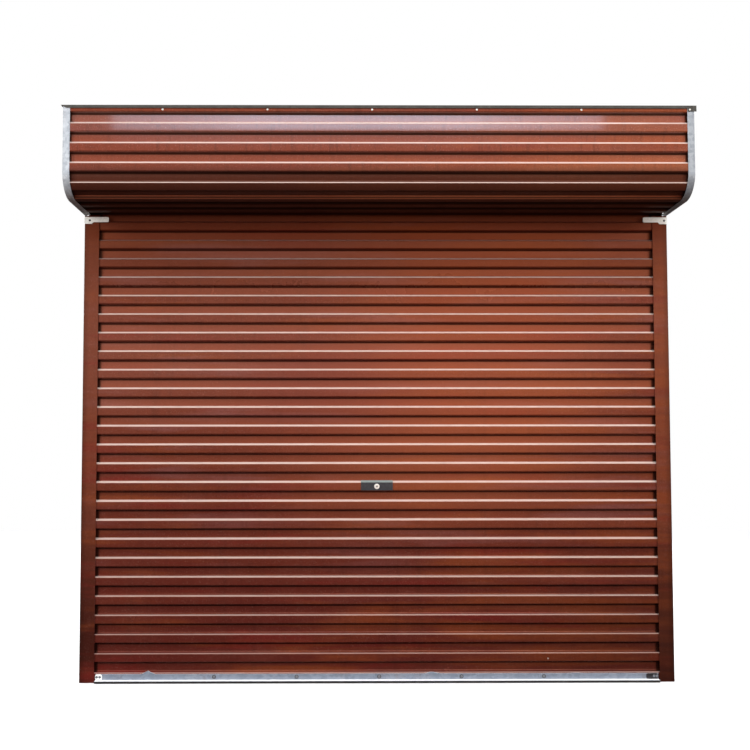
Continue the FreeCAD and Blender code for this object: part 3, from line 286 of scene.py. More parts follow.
for name, look in (("curtain_paint", curtainPaint), ("hood_paint", hoodPaint), ("guide_paint", guidePaint),
                   ("roll_paint", rollPaint)):
    paintFinish(name, look)


# Zinc-coated steel: crystals of the coating, white bloom and brown stains, and a painted highlight on what faces up.
def zincFinish(name, look):
    zinc = Finish(name)
    tone = zinc.axis(zinc.cells(look["crystals"]), "X")
    bloom = zinc.noise(14.0, 6.0, 0.65)
    stain = zinc.noise(5.0, 5.0, 0.6, zinc.stretch(3, 3, 1))
    fine = zinc.noise(260.0, 2.0)
    colour = zinc.mix(tone * look["contrast"], look["light"], look["dark"])
    colour = zinc.mix(zinc.span(bloom, 0.5, 0.75) * look["bloom"], colour, look["bloomColour"])
    colour = zinc.mix(zinc.span(stain, 0.55, 0.8) * look["stain"], colour, look["stainColour"])
    # painted highlight on what faces up
    litLedge = zinc.span(zinc.facing("Z"), 0.5, 0.85)
    colour = zinc.mix(litLedge * look["litLedge"], colour, look["litLedgeColour"])
    rough = look["rough"] + tone * 0.12 + bloom * 0.15
    face = zinc.bump(tone * 0.5 + fine * 0.3, 0.12, 0.0006)
    finishes[name] = zinc.surface(Base_Color=colour, Roughness=rough, Metallic=look["metal"], Normal=face,
                                  Specular_IOR_Level=look["gloss"])


galvanised = {"crystals": 75.0, "contrast": 0.6, "light": shade(178, 184, 190), "dark": shade(126, 133, 142),
              "bloom": 0.4, "bloomColour": shade(204, 208, 212), "stain": 0.4, "stainColour": shade(128, 106, 92),
              "rough": 0.4, "metal": 0.25, "gloss": 0.4, "litLedge": 0.2, "litLedgeColour": shade(232, 234, 240)}
zincFinish("galvanised", galvanised)
zincFinish("rail_zinc", dict(galvanised, light=shade(128, 138, 152), dark=shade(94, 103, 117),
                             bloomColour=shade(150, 156, 166), metal=0.08, litLedge=1.0,
                             litLedgeColour=shade(252, 252, 255)))
# the right cheek: a darker copy of the galvanised finish, painted shade
zincFinish("shaded_right_cheek_zinc", dict(galvanised, light=shade(146, 152, 158), dark=shade(104, 110, 118),
                                    bloomColour=shade(172, 176, 180)))
zincFinish("flashing_steel", dict(galvanised, light=shade(72, 70, 66), dark=shade(56, 55, 53), bloom=0.2,
                                  bloomColour=shade(92, 90, 86), stain=0.5, stainColour=shade(60, 52, 44),
                                  crystals=60.0, rough=0.6, metal=0.0, gloss=0.1, litLedge=0.3,
                                  litLedgeColour=shade(130, 130, 126)))
zincFinish("bolt_zinc", dict(galvanised, crystals=400.0, light=shade(120, 124, 132), dark=shade(86, 88, 94),
                             bloomColour=shade(160, 162, 168), rough=0.35, metal=0.4))
zincFinish("zinc_hardware", dict(galvanised, crystals=400.0, contrast=0.25, light=shade(206, 204, 196),
                                 dark=shade(160, 158, 150), rough=0.22, metal=0.85))
zincFinish("stop_arm_zinc", dict(galvanised, crystals=160.0, light=shade(250, 255, 253), dark=shade(226, 230, 224),
                                 bloomColour=shade(253, 255, 255), stain=0.15, rough=0.4, metal=0.0))
zincFinish("bracket_steel", dict(galvanised, crystals=120.0, light=shade(150, 152, 154), dark=shade(112, 114, 118),
                                 rough=0.38, metal=0.7))
zincFinish("axle_steel", dict(galvanised, crystals=30.0, contrast=0.3, light=shade(138, 138, 140),
                              dark=shade(104, 104, 106), stain=0.6, rough=0.3, metal=0.9))
zincFinish("spring_steel", dict(galvanised, crystals=500.0, contrast=0.2, light=shade(70, 70, 74),
                                dark=shade(38, 38, 40), stain=0.4, bloom=0.1, rough=0.28, metal=0.8))


# Nylon, rubber, the black plate of the lock and its nickel barrel.
def plainFinish(name, light, dark, rough, metal, scale, relief, coat=0.0, litLedge=None):
    plain = Finish(name)
    patch = plain.noise(scale, 5.0, 0.6)
    grain = plain.noise(scale * 14, 3.0)
    colour = plain.mix(plain.span(patch, 0.35, 0.7), light, dark)
    colour = plain.mix(plain.span(grain, 0.55, 0.8) * 0.25, colour, dark)
    # painted highlight on what faces up, such as the lock plate's top edge
    if litLedge:
        colour = plain.mix(plain.span(plain.facing("Z"), 0.25, 0.7), colour, litLedge)
    finishes[name] = plain.surface(Base_Color=colour, Roughness=rough + grain * 0.14, Metallic=metal,
                                   Normal=plain.bump(grain, relief, 0.0005), Coat_Weight=coat)


plainFinish("nylon", shade(226, 222, 208), shade(196, 188, 168), 0.42, 0.0, 12.0, 0.05)
plainFinish("seal_rubber", shade(26, 26, 27), shade(52, 48, 45), 0.62, 0.0, 20.0, 0.25)
plainFinish("lock_black", shade(34, 37, 42), shade(46, 49, 55), 0.34, 0.0, 60.0, 0.06, 0.1, shade(120, 132, 130))
plainFinish("key_nickel", shade(240, 236, 230), shade(214, 208, 200), 0.3, 0.35, 90.0, 0.04)
print("finishes made:", len(finishes))


# Modelling tools.
def choose(*pieces):
    # select these alone, the first one active
    bpy.ops.object.select_all(action="DESELECT")
    for piece in pieces:
        piece.select_set(True)
    bpy.context.view_layer.objects.active = pieces[0]


def openEdit(piece, kind="EDGE"):
    choose(piece)
    bpy.ops.object.mode_set(mode="EDIT")
    bpy.ops.mesh.select_mode(type=kind)
    bpy.ops.mesh.select_all(action="DESELECT")
    return bmesh.from_edit_mesh(piece.data)


def pick(piece, kind, test):
    # select the verts, edges or faces whose corners all pass
    mesh = bmesh.from_edit_mesh(piece.data)
    for part in getattr(mesh, kind):
        corners = [part] if kind == "verts" else part.verts
        part.select_set(all(test(corner.co) for corner in corners))
    bmesh.update_edit_mesh(piece.data)


def closeEdit():
    bpy.ops.object.mode_set(mode="OBJECT")


def modify(piece, kind, **settings):
    bpy.context.view_layer.objects.active = piece
    modifier = piece.modifiers.new(kind.lower(), kind)
    for name, value in settings.items():
        setattr(modifier, name, value)
    bpy.ops.object.modifier_apply(modifier=modifier.name)


def placeMesh(piece, name):
    # put the object at the origin with its place in its mesh
    piece.name = piece.data.name = name
    choose(piece)
    bpy.ops.object.transform_apply(location=True, rotation=True, scale=True)
    return piece


def cylinder(name, radius, length, place, turned=toFront, vertices=32, **more):
    bpy.ops.mesh.primitive_cylinder_add(vertices=vertices, radius=radius, depth=length, location=place,
                                        rotation=turned, **more)
    return placeMesh(bpy.context.object, name)


def block(place, size):
    bpy.ops.mesh.primitive_cube_add(size=1, location=place)
    bpy.context.object.scale = size
    return bpy.context.object


def smooth(piece, angle=32, weighted=True):
    choose(piece)
    bpy.ops.object.shade_smooth_by_angle(angle=math.radians(angle))
    if weighted:
        modify(piece, "WEIGHTED_NORMAL", keep_sharp=True, weight=70)
    return piece


def settle(piece, body, slot, *nodes, finish=None):
    piece.data.materials.clear()
    piece.data.materials.append(finishes[finish or slot])
    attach(piece, body)
    if nodes:
        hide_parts(*nodes)


def foldSheet(name, path, low, high, facing, bend=0.0, steps=4, columns=1, along=across):
    # the first run of the path is a strip, and its far edge is drawn out run by run
    points = [Vector((0, *point)) if along is across else Vector((*point, 0)) for point in path]
    run = points[1] - points[0]
    turn = Matrix((along, run.normalized(), along.cross(run.normalized()))).transposed()
    middle = along * (low + high) / 2 + (points[0] + points[1]) / 2
    bpy.ops.mesh.primitive_grid_add(x_subdivisions=columns, y_subdivisions=1, size=1, location=middle,
                                    rotation=turn.to_euler())
    bpy.context.object.scale = (high - low, run.length, 1)
    piece = placeMesh(bpy.context.object, name)
    openEdit(piece)
    far = points[1].dot(run.normalized())
    pick(piece, "edges", lambda co: abs(co.dot(run.normalized()) - far) < touch)
    for start, end in zip(points[1:], points[2:]):
        bpy.ops.mesh.extrude_region_move(TRANSFORM_OT_translate={"value": end - start})
    mesh = bmesh.from_edit_mesh(piece.data)
    mesh.faces.ensure_lookup_table()
    if mesh.faces[0].normal.dot(facing) < 0:
        bpy.ops.mesh.select_all(action="SELECT")
        bpy.ops.mesh.flip_normals()
    closeEdit()
    if bend:
        modify(piece, "BEVEL", width=bend, segments=steps, limit_method="ANGLE", angle_limit=math.radians(18),
               use_clamp_overlap=False)
    return piece


def thicken(piece, thick):
    modify(piece, "SOLIDIFY", thickness=thick, offset=-1, use_even_offset=True, use_quality_normals=True)
    return piece


def soften(piece, width, angle, steps=2):
    # bevel the edges that are sharper than the angle
    modify(piece, "BEVEL", width=width, segments=steps, limit_method="ANGLE", angle_limit=math.radians(angle))
    return piece


def softCopy(name, node, width, steps=2):
    # a CAD node's shape with its edges broken
    piece = bpy.data.objects.new(name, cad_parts[node].data.copy())
    bpy.context.scene.collection.objects.link(piece)
    piece.data.name = name
    openEdit(piece)
    bpy.ops.mesh.select_all(action="SELECT")
    bpy.ops.mesh.remove_doubles(threshold=0.00001)
    bpy.ops.mesh.customdata_custom_splitnormals_clear()
    bpy.ops.mesh.dissolve_limited(angle_limit=math.radians(0.5))
    closeEdit()
    return smooth(soften(piece, width, 30, steps))


def softSet(name, node, width, body, slot, sides=("left", "right"), steps=2, finish=None):
    # the same piece at each side; the names are what follows the side's
    for side in sides:
        settle(softCopy(side + name, side + node, width, steps), body, slot, side + node, finish=finish)


def merge(pieces):
    choose(*pieces)
    if len(pieces) > 1:
        bpy.ops.object.join()
    return bpy.context.object


def roundEdges(piece, width, steps, test):
    # bevel the edges whose two ends pass
    mesh = openEdit(piece)
    for edge in mesh.edges:
        edge.select_set(test(edge.verts[0].co, edge.verts[1].co))
    bmesh.update_edit_mesh(piece.data)
    bpy.ops.mesh.bevel(offset=width, segments=steps, affect="EDGES")
    closeEdit()
    return piece


def drill(piece, holes, radius, depth):
    # cut round holes; a hole is the middle of its cutter
    cutters = []
    for hole in holes:
        bpy.ops.mesh.primitive_cylinder_add(vertices=24, radius=radius, depth=depth, location=hole, rotation=toFront)
        cutters.append(bpy.context.object)
    cut(piece, cutters)


def cut(piece, cutters):
    cutter = merge(cutters)
    modify(piece, "BOOLEAN", operation="DIFFERENCE", object=cutter, solver="EXACT")
    bpy.data.objects.remove(cutter)


def repeat(master, name, places):
    # copies of a small piece that was made at the origin, joined in one object
    copies = []
    for spot in places:
        twin = bpy.data.objects.new(name, master.data.copy())
        bpy.context.scene.collection.objects.link(twin)
        twin.data.transform(Matrix.Translation(spot))
        copies.append(twin)
    bpy.data.objects.remove(master)
    joined = merge(copies)
    joined.name = joined.data.name = name
    return joined


# Curtain: one ribbed sheet from its first seam to the roll, its ribs forward.
curtain = {"face": 0.034, "run": 0.009, "depth": 0.015, "sheet": 0.0007, "halfWidth": 1.336, "front": -0.031,
           "seam": 0.0675, "top": axleZ, "foot": 0.0127, "bend": 0.0021, "columns": 18, "lockHole": 0.0125,
           "cutter": 0.05}
ribFoot = (ribPitch - curtain["face"] - 2 * curtain["run"]) / 2
valley = curtain["front"] + curtain["depth"]
# the four bends of a rib: how far they are from its foot, and whether they are on its face
ribBends = [(0, False), (curtain["run"], True), (curtain["run"] + curtain["face"], True),
            (2 * curtain["run"] + curtain["face"], False)]


def curtainPath():
    points = [(valley, curtain["seam"])]
    for rib in range(math.ceil((curtain["top"] - curtain["seam"]) / ribPitch)):
        low = curtain["seam"] + rib * ribPitch + ribFoot
        points += [(curtain["front"] if onFace else valley, low + offset) for offset, onFace in ribBends]
    points = [point for point in points if point[1] < curtain["top"]]
    return points + [(points[-1][0], curtain["top"])]


sheet = foldSheet("curtainSheet", curtainPath(), -curtain["halfWidth"], curtain["halfWidth"], outward,
                  bend=curtain["bend"], columns=curtain["columns"])
thicken(sheet, curtain["sheet"])
drill(sheet, [(0, curtain["front"], lockHeight)], curtain["lockHole"], curtain["cutter"])
smooth(sheet)
settle(sheet, "frame", "curtain_paint", *[f"curtain_strip_{number:02d}" for number in range(1, 13)],
       "curtain_top_strip")
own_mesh(sheet)

starter = [(curtain["front"], curtain["foot"]), (curtain["front"], curtain["seam"] - ribFoot - curtain["run"]),
           (valley, curtain["seam"] - ribFoot), (valley, curtain["seam"])]
starterSheet = foldSheet("curtainStarter", starter, -curtain["halfWidth"], curtain["halfWidth"], outward,
                         bend=curtain["bend"], columns=curtain["columns"])
thicken(starterSheet, curtain["sheet"])
settle(smooth(starterSheet), "rail", "curtain_paint", "curtain_bottom_strip")
print("curtain made")


# The wound part of the curtain, its ribs turned in towards the axle.
roll = {"radius": 0.15, "step": 0.0175, "turns": 1.25, "start": 2.2645, "stride": 0.009}


def rollPath():
    # the bends as distance along the sheet and height over the valley, then laid on the spiral
    corners = [(0.0, curtain["depth"])]
    rib = int(roll["start"] // ribPitch)
    while corners[-1][0] < roll["turns"] * math.tau * roll["radius"]:
        for offset, onFace in ribBends:
            ahead = rib * ribPitch + ribFoot + offset - roll["start"]
            if ahead > 0:
                corners.append((ahead, curtain["depth"] if onFace else 0.0))
        rib += 1
    path, turned, walked = [], 0.0, 0.0
    for (start, low), (end, high) in zip(corners, corners[1:]):
        count = max(1, round((end - start) / roll["stride"])) if low == high else 1
        for index in range(count):
            share = index / count
            here = start + (end - start) * share
            radius = roll["radius"] - roll["step"] * turned / math.tau
            turned += (here - walked) / radius
            walked = here
            if turned > roll["turns"] * math.tau:
                return path
            reach = roll["radius"] - roll["step"] * turned / math.tau - low
            path.append((axleY + reach * math.cos(turned), axleZ + reach * math.sin(turned)))
    return path


wound = foldSheet("curtainRoll", rollPath(), -curtain["halfWidth"], curtain["halfWidth"], -outward,
                  bend=curtain["bend"], steps=3, columns=1)
thicken(wound, curtain["sheet"])
settle(smooth(wound), "drum", "curtain_paint", "curtain_roll", finish="roll_paint")
print("roll made")


# Hood: ribbed cover rolled round the lower front corner, galvanised end cheeks, grey cap.
hood = {"front": -0.3622, "top": 2.524, "straight": 0.288, "corner": 0.1, "turnY": -0.264, "turnZ": 2.236,
        "fit": 0.0018, "underside": 2.1378, "end": 0.66508, "firstRib": 0.0675, "halfWidth": 1.3482,
        "outer": 1.35, "flange": 0.03, "sheet": 0.0015, "throat": -0.044, "bottom": 2.136, "cheekFront": -0.364,
        "stride": 0.007, "cheekSteps": 12, "fold": 0.0022}
hoodArc = hood["corner"] * math.pi / 2


def onHood(walked, inward):
    # a point of the cover, by its distance down and round from the top edge
    if walked <= hood["straight"]:
        return hood["front"] + inward, hood["top"] - walked
    if walked <= hood["straight"] + hoodArc:
        angle = (walked - hood["straight"]) / hood["corner"]
        reach = hood["corner"] - hood["fit"] - inward
        return hood["turnY"] - reach * math.cos(angle), hood["turnZ"] - reach * math.sin(angle)
    return hood["turnY"] + walked - hood["straight"] - hoodArc, hood["underside"] + inward


def hoodPath():
    corners, rib = [(0.0, 0.0)], -1
    while hood["firstRib"] + rib * ribPitch < hood["end"]:
        start = hood["firstRib"] + rib * ribPitch
        for offset, onFace in ribBends:
            if 0 < start + offset < hood["end"]:
                corners.append((start + offset, 0.0 if onFace else curtain["depth"]))
        rib += 1
    corners.append((hood["end"], corners[-1][1]))
    path = []
    for (start, low), (end, high) in zip(corners, corners[1:]):
        turning = end > hood["straight"] and start < hood["straight"] + hoodArc
        count = max(1, round((end - start) / hood["stride"])) if turning and low == high else 1
        path += [onHood(start + (end - start) * index / count, low) for index in range(count)]
    return path + [onHood(*corners[-1])]


cover = foldSheet("hoodCover", hoodPath(), -hood["halfWidth"], hood["halfWidth"], outward, bend=curtain["bend"],
                  columns=curtain["columns"])
thicken(cover, curtain["sheet"])
settle(smooth(cover), "frame", "hood_paint", "hood_cover")


def cheek(name, side, node, finish):
    # the flange is folded first, then its outer edge is closed by the end plate
    path = [(hood["cheekFront"], hood["top"])]
    for index in range(hood["cheekSteps"] + 1):
        angle = math.radians(90 * index / hood["cheekSteps"])
        path.append((hood["turnY"] - hood["corner"] * math.cos(angle),
                     hood["turnZ"] - hood["corner"] * math.sin(angle)))
    path.append((hood["throat"], hood["bottom"]))
    near, far = side * (hood["outer"] - hood["flange"]), side * hood["outer"]
    piece = foldSheet(name, path, min(near, far), max(near, far), outward)
    mesh = openEdit(piece)
    pick(piece, "edges", lambda co: abs(co.x - far) < touch)
    rim = [edge for edge in mesh.edges if edge.select]
    foot = min((corner for edge in rim for corner in edge.verts), key=lambda corner: (-corner.co.y, corner.co.z))
    head = max((corner for edge in rim for corner in edge.verts), key=lambda corner: corner.co.z)
    low = mesh.verts.new((far, 0, hood["bottom"]))
    high = mesh.verts.new((far, 0, hood["top"]))
    for ends in ((foot, low), (low, high), (high, head)):
        mesh.edges.new(ends).select_set(True)
    bmesh.update_edit_mesh(piece.data)
    bpy.ops.mesh.edge_face_add()
    mesh = bmesh.from_edit_mesh(piece.data)
    bpy.ops.mesh.select_all(action="SELECT")
    bpy.ops.mesh.normals_make_consistent(inside=False)
    front = min(mesh.faces, key=lambda plane: plane.calc_center_median().y)
    if front.normal.y > 0:
        bpy.ops.mesh.flip_normals()
    closeEdit()
    soften(piece, hood["fold"], 50, 3)
    thicken(piece, hood["sheet"])
    settle(smooth(piece), "frame", "galvanised", node, finish=finish)


cheek("leftHoodCheek", -1, "left_hood_cheek", "galvanised")
cheek("rightHoodCheek", 1, "right_hood_cheek", "shaded_right_cheek_zinc")

cap = {"reach": 1.359, "front": -0.3655, "top": 2.5255, "lip": 2.5125, "upstand": 2.5655, "sheet": 0.0012,
       "tabStart": 1.322, "tabDrop": 0.013, "slant": 0.024, "fold": 0.0015}
capPath = [(-cap["sheet"], cap["upstand"]), (-cap["sheet"], cap["top"]), (cap["front"], cap["top"]),
           (cap["front"], cap["lip"])]
flashing = foldSheet("hoodFlashing", capPath, -cap["reach"], cap["reach"], outward, columns=24)
openEdit(flashing)
for place in (cap["tabStart"], cap["slant"] - cap["reach"]):
    bpy.ops.mesh.select_all(action="SELECT")
    bpy.ops.mesh.bisect(plane_co=(place, 0, 0), plane_no=across)
pick(flashing, "edges", lambda co: abs(co.z - cap["lip"]) < touch and co.x > cap["tabStart"] - touch)
bpy.ops.mesh.extrude_region_move(TRANSFORM_OT_translate={"value": (0, 0, -cap["tabDrop"])})
bpy.ops.mesh.select_mode(type="VERT")
pick(flashing, "verts", lambda co: abs(co.z - cap["lip"]) < touch and co.x < -cap["reach"] + touch)
bpy.ops.transform.translate(value=(0, 0, cap["top"] - cap["sheet"] - cap["lip"]))
closeEdit()
soften(flashing, cap["fold"], 50, 3)
thicken(flashing, cap["sheet"])
settle(smooth(flashing), "frame", "flashing_steel", "hood_flashing")

rail = {"front": -0.3615, "top": 2.524, "depth": 0.03, "leg": 0.023, "sheet": 0.002}
topRail = foldSheet("hoodTopRail", [(rail["front"] + rail["depth"], rail["top"]), (rail["front"], rail["top"]),
                                    (rail["front"], rail["top"] - rail["leg"])],
                    -hood["halfWidth"], hood["halfWidth"], up, bend=0.002)
thicken(topRail, rail["sheet"])
settle(smooth(topRail), "frame", "galvanised", "hood_top_rail")
print("hood made")


# Guides: folded channels on the wall, with their fixing holes.
guide = {"outer": 1.35, "lip": 0.068, "back": 0.088, "depth": 0.036, "sheet": 0.0015, "bend": 0.004,
         "top": 2.1357, "holeLine": 1.272, "holes": (0.16, 0.76, 1.36, 1.96), "holeRadius": 0.0045,
         "screwHole": 0.0027, "cutter": 0.01}
stopScrews = {"z": 2.113, "places": {-1: -1.325, 1: 1.336}, "radius": 0.005, "height": 0.0024, "dome": 0.0014,
              "recess": 0.0017, "front": -0.04}


def guideChannel(name, side, node):
    path = [(side * (guide["outer"] - guide["lip"]), -guide["depth"]), (side * guide["outer"], -guide["depth"]),
            (side * guide["outer"], 0), (side * (guide["outer"] - guide["back"]), 0)]
    piece = foldSheet(name, path, 0, guide["top"], outward, bend=guide["bend"], steps=5, columns=16, along=up)
    thicken(piece, guide["sheet"])
    drill(piece, [(side * guide["holeLine"], 0, hole) for hole in guide["holes"]], guide["holeRadius"],
          guide["cutter"])
    drill(piece, [(stopScrews["places"][side], -guide["depth"], stopScrews["z"])], guide["screwHole"],
          guide["cutter"])
    settle(smooth(piece), "frame", "guide_paint", node)


guideChannel("leftGuide", -1, "left_guide")
guideChannel("rightGuide", 1, "right_guide")
softSet("WearStrip", "_wear_strip", 0.0008, "frame", "nylon")
softSet("StopArm", "_stop_arm", 0.0009, "frame", "galvanised", steps=3, finish="stop_arm_zinc")
softSet("Keeper", "_lock_keeper", 0.0005, "frame", "zinc_hardware")
print("guides made")


# Screws and bolts.
def screwHead(size):
    # a domed head at the origin that stands forward of y = 0, with a round drive recess where it has one
    height = size["height"]
    head = cylinder("head", size["radius"], height, (0, -height / 2, 0))
    roundEdges(head, size["dome"], 5, lambda one, other: max(one.y, other.y) < -height + touch)
    if "recess" in size:
        mesh = openEdit(head, "FACE")
        pick(head, "faces", lambda co: co.y < -height + touch)
        face = next(plane for plane in mesh.faces if plane.select)
        reach = max((corner.co - face.calc_center_median()).length for corner in face.verts)
        bpy.ops.mesh.inset(thickness=reach - size["recess"])
        bpy.ops.mesh.extrude_region_move(TRANSFORM_OT_translate={"value": (0, height * 0.55, 0)})
        closeEdit()
    return smooth(head)


hoodScrews = {"z": 2.507, "places": (-0.926, -0.478, -0.030, 0.418, 0.866), "tabPlace": 1.33, "radius": 0.0045,
              "height": 0.0015, "dome": 0.0011, "recess": 0.0014}
spots = [(x, hood["front"], hoodScrews["z"]) for x in hoodScrews["places"]]
spots.append((hoodScrews["tabPlace"], cap["front"], hoodScrews["z"]))
settle(repeat(screwHead(hoodScrews), "hoodScrews", spots), "frame", "zinc_hardware", "hood_screws")
spots = [(x, stopScrews["front"], stopScrews["z"]) for x in stopScrews["places"].values()]
settle(repeat(screwHead(stopScrews), "stopScrews", spots), "frame", "zinc_hardware", "stop_screws",
       finish="spring_steel")


# Bottom rail: angle with a forward lip, rubber under it, round bolt heads and nuts behind.
foot = {"half": 1.277, "back": -0.031, "sheet": 0.002, "lip": 0.021, "low": 0.010, "top": 0.039, "bolt": 0.0255,
        "scuffs": ((-1.034, 0.015), (0.249, 0.007), (-0.62, 0.0015), (0.9, 0.0018)), "scuffHalf": 0.01,
        "scuffReach": 0.03, "columns": 160, "sealY": -0.042, "sealWidth": 0.022, "sealRound": 0.006}
angle = foldSheet("bottomRail", [(foot["back"] - foot["sheet"] - foot["lip"], foot["low"] + foot["sheet"]),
                                 (foot["back"] - foot["sheet"], foot["low"] + foot["sheet"]),
                                 (foot["back"] - foot["sheet"], foot["top"])],
                  -foot["half"], foot["half"], up, bend=0.002, columns=foot["columns"])
thicken(angle, foot["sheet"])
soften(angle, 0.0006, 60)
for x, rise in foot["scuffs"]:        # knocks that pull the upright's top edge up
    openEdit(angle, "VERT")
    pick(angle, "verts", lambda co: co.z > foot["top"] - foot["sheet"] / 2 and abs(co.x - x) < foot["scuffHalf"])
    bpy.ops.transform.translate(value=(0, -foot["sheet"] / 2, rise), use_proportional_edit=True,
                                proportional_edit_falloff="SMOOTH", proportional_size=foot["scuffReach"])
    closeEdit()
settle(smooth(angle), "rail", "galvanised", "bottom_rail", finish="rail_zinc")

seal = placeMesh(block((0, foot["sealY"], foot["low"] / 2), (2 * foot["half"], foot["sealWidth"], foot["low"])),
                 "bottomSeal")
roundEdges(seal, foot["sealRound"], 6,
           lambda one, other: max(one.z, other.z) < touch and abs(one.x - other.x) > touch)
settle(smooth(seal), "rail", "seal_rubber", "bottom_seal")

bolt = {"radius": 0.0062, "height": 0.0026, "dome": 0.0022, "front": foot["back"] - foot["sheet"], "washer": 0.0088,
        "washerThick": 0.0010, "nut": 0.0062, "nutThick": 0.0045, "nutBack": -0.0303, "endNutBack": -0.0273}
boltPlaces = [-0.740, -0.366, 0.008, 0.382, 0.756]
endPlaces = [-1.2566, -1.27025, 1.2566, 1.27025]


def alongRail(places, y):
    return [(x, y, foot["bolt"]) for x in places]


def disc(name, vertices, radius, thick, side, rounded):
    # a washer or nut at the origin, on one side of y = 0, its outer rim rounded
    piece = cylinder(name, radius, thick, (0, side * thick / 2, 0), vertices=vertices)
    return smooth(roundEdges(piece, rounded, 2, lambda one, other: side * (one.y + other.y) > thick * 1.8))


bolts = repeat(screwHead(bolt), "railBolts", alongRail(boltPlaces + endPlaces, bolt["front"]))
settle(bolts, "rail", "zinc_hardware", "rail_bolts", finish="bolt_zinc")
# rubber washers, dark, which also stand for the shade round each bolt head
washers = repeat(disc("washer", 32, bolt["washer"], bolt["washerThick"], -1, 0.0004), "railWashers",
                 alongRail(boltPlaces, bolt["front"]))
settle(washers, "rail", "seal_rubber")
nuts = repeat(disc("nut", 6, bolt["nut"], bolt["nutThick"], 1, 0.0007), "railNuts",
              alongRail(boltPlaces, bolt["nutBack"]) + alongRail(endPlaces, bolt["endNutBack"]))
settle(nuts, "rail", "zinc_hardware")
# rounded plates under the two bolts at each end, pale at the left and dark at the right
endPlate = {"middle": -0.0336, "thick": 0.0012, "tall": 0.0262, "corner": 0.009}
for side, width, plateFinish in ((-1, 0.031, "stop_arm_zinc"), (1, 0.056, "spring_steel")):
    plate = placeMesh(block((side * (foot["half"] - width / 2), endPlate["middle"], foot["bolt"]),
                            (width, endPlate["thick"], endPlate["tall"])),
                      "leftRailEnd" if side < 0 else "rightRailEnd")
    roundEdges(plate, endPlate["corner"], 6, lambda one, other: abs(one.y - other.y) > endPlate["thick"] / 2)
    settle(smooth(soften(plate, 0.0004, 60)), "rail", "galvanised", finish=plateFinish)
softSet("RailTongue", "_rail_tongue", 0.0006, "rail", "galvanised")
rivet = {"radius": 0.0036, "height": 0.0016, "dome": 0.0014, "place": (0.776, curtain["front"], 0.104)}
settle(repeat(screwHead(rivet), "curtainRivet", [rivet["place"]]), "strip_01", "zinc_hardware")
print("rail made")


# Lock: black plate, nickel barrel with its keyway, and the bar work behind the curtain.
plateSize = {"half": 0.073, "front": -0.0335, "low": 0.8665, "fold": 0.9037, "back": -0.0190, "high": 0.9124,
             "thick": 0.0012, "hole": 0.0127, "cutter": 0.01}
lockPlate = foldSheet("lockPlate", [(plateSize["front"], plateSize["low"]), (plateSize["front"], plateSize["fold"]),
                                    (plateSize["back"], plateSize["high"])],
                      -plateSize["half"], plateSize["half"], outward, bend=0.0016)
thicken(lockPlate, plateSize["thick"])
drill(lockPlate, [(0, plateSize["front"], lockHeight)], plateSize["hole"], plateSize["cutter"])
settle(smooth(soften(lockPlate, 0.0004, 60)), "lock", "lock_black", "lock_plate")
barrel = {"radius": 0.012, "front": -0.0355, "length": 0.0263, "chamfer": 0.0012, "ring": 0.0026, "groove": 0.0004,
          "grooveDepth": 0.0008, "chamferDepth": 0.0007, "keyway": (0.0030, 0.016, 0.0075),
          "keywayShadeRing": (0.0028, 0.0012)}
key = cylinder("keyBarrel", barrel["radius"], barrel["length"],
               (0, barrel["front"] + barrel["length"] / 2, lockHeight), vertices=64)


def onKeyFace(co, low, high):
    # the place is on the barrel's front, at this distance from its middle
    return co.y < barrel["front"] + touch and low < math.hypot(co.x, co.z - lockHeight) < high


openEdit(key, "FACE")
pick(key, "faces", lambda co: onKeyFace(co, -1, 1))
bpy.ops.mesh.inset(thickness=barrel["chamfer"])
bpy.ops.mesh.select_all(action="DESELECT")
pick(key, "faces", lambda co: onKeyFace(co, -1, barrel["radius"] - barrel["chamfer"] / 2))
bpy.ops.mesh.inset(thickness=barrel["ring"])
for inward in (barrel["grooveDepth"], -barrel["grooveDepth"]):
    bpy.ops.mesh.inset(thickness=barrel["groove"], depth=0)
    bpy.ops.transform.translate(value=(0, inward, 0))
closeEdit()
openEdit(key)
pick(key, "edges", lambda co: onKeyFace(co, barrel["radius"] - touch, 1))
bpy.ops.transform.translate(value=(0, barrel["chamferDepth"], 0))
closeEdit()
cut(key, [block((0, barrel["front"], lockHeight), barrel["keyway"])])
settle(smooth(key), "key_barrel", "key_nickel", "key_cylinder")
ringRadius, ringThick = barrel["keywayShadeRing"]        # a black ring round the keyway: painted shade of the keyway's dark middle
bpy.ops.mesh.primitive_torus_add(major_segments=32, minor_segments=8, major_radius=ringRadius,
                                 minor_radius=ringThick, location=(0, barrel["front"], lockHeight), rotation=toFront)
settle(smooth(placeMesh(bpy.context.object, "keywayShade")), "key_barrel", "lock_black")
inside = {"lock_backplate": ("lock", 0.0006, "bracket_steel"), "lock_bar_clips": ("lock", 0.0005, None),
          "lock_cam": ("key_barrel", 0.0006, None), "inside_thumb_turn": ("key_barrel", 0.0015, "lock_black"),
          "left_lock_bar": ("left_bar", 0.0005, None), "right_lock_bar": ("right_bar", 0.0005, None)}
for node, (body, width, finish) in inside.items():
    settle(softCopy(node.title().replace("_", ""), node, width), body, "zinc_hardware", node, finish=finish)
print("lock made")


# Axle group: tube, wheels, wound springs with their end cones, brackets and collars.
axle = {"half": 1.3479, "radius": 0.017, "wall": 0.003}
tube = cylinder("axleTube", axle["radius"], 2 * axle["half"], (0, axleY, axleZ), toSide, 48, end_fill_type="NOTHING")
thicken(tube, axle["wall"])
settle(smooth(tube), "frame", "axle_steel", "axle")

spring = {"inner": 0.346, "outer": 1.226, "wire": 0.0029, "coil": 0.0238, "pitch": 0.0061, "cone": 0.018,
          "coneRadius": 0.027, "coneEdge": 0.003, "sides": 6, "steps": 14}


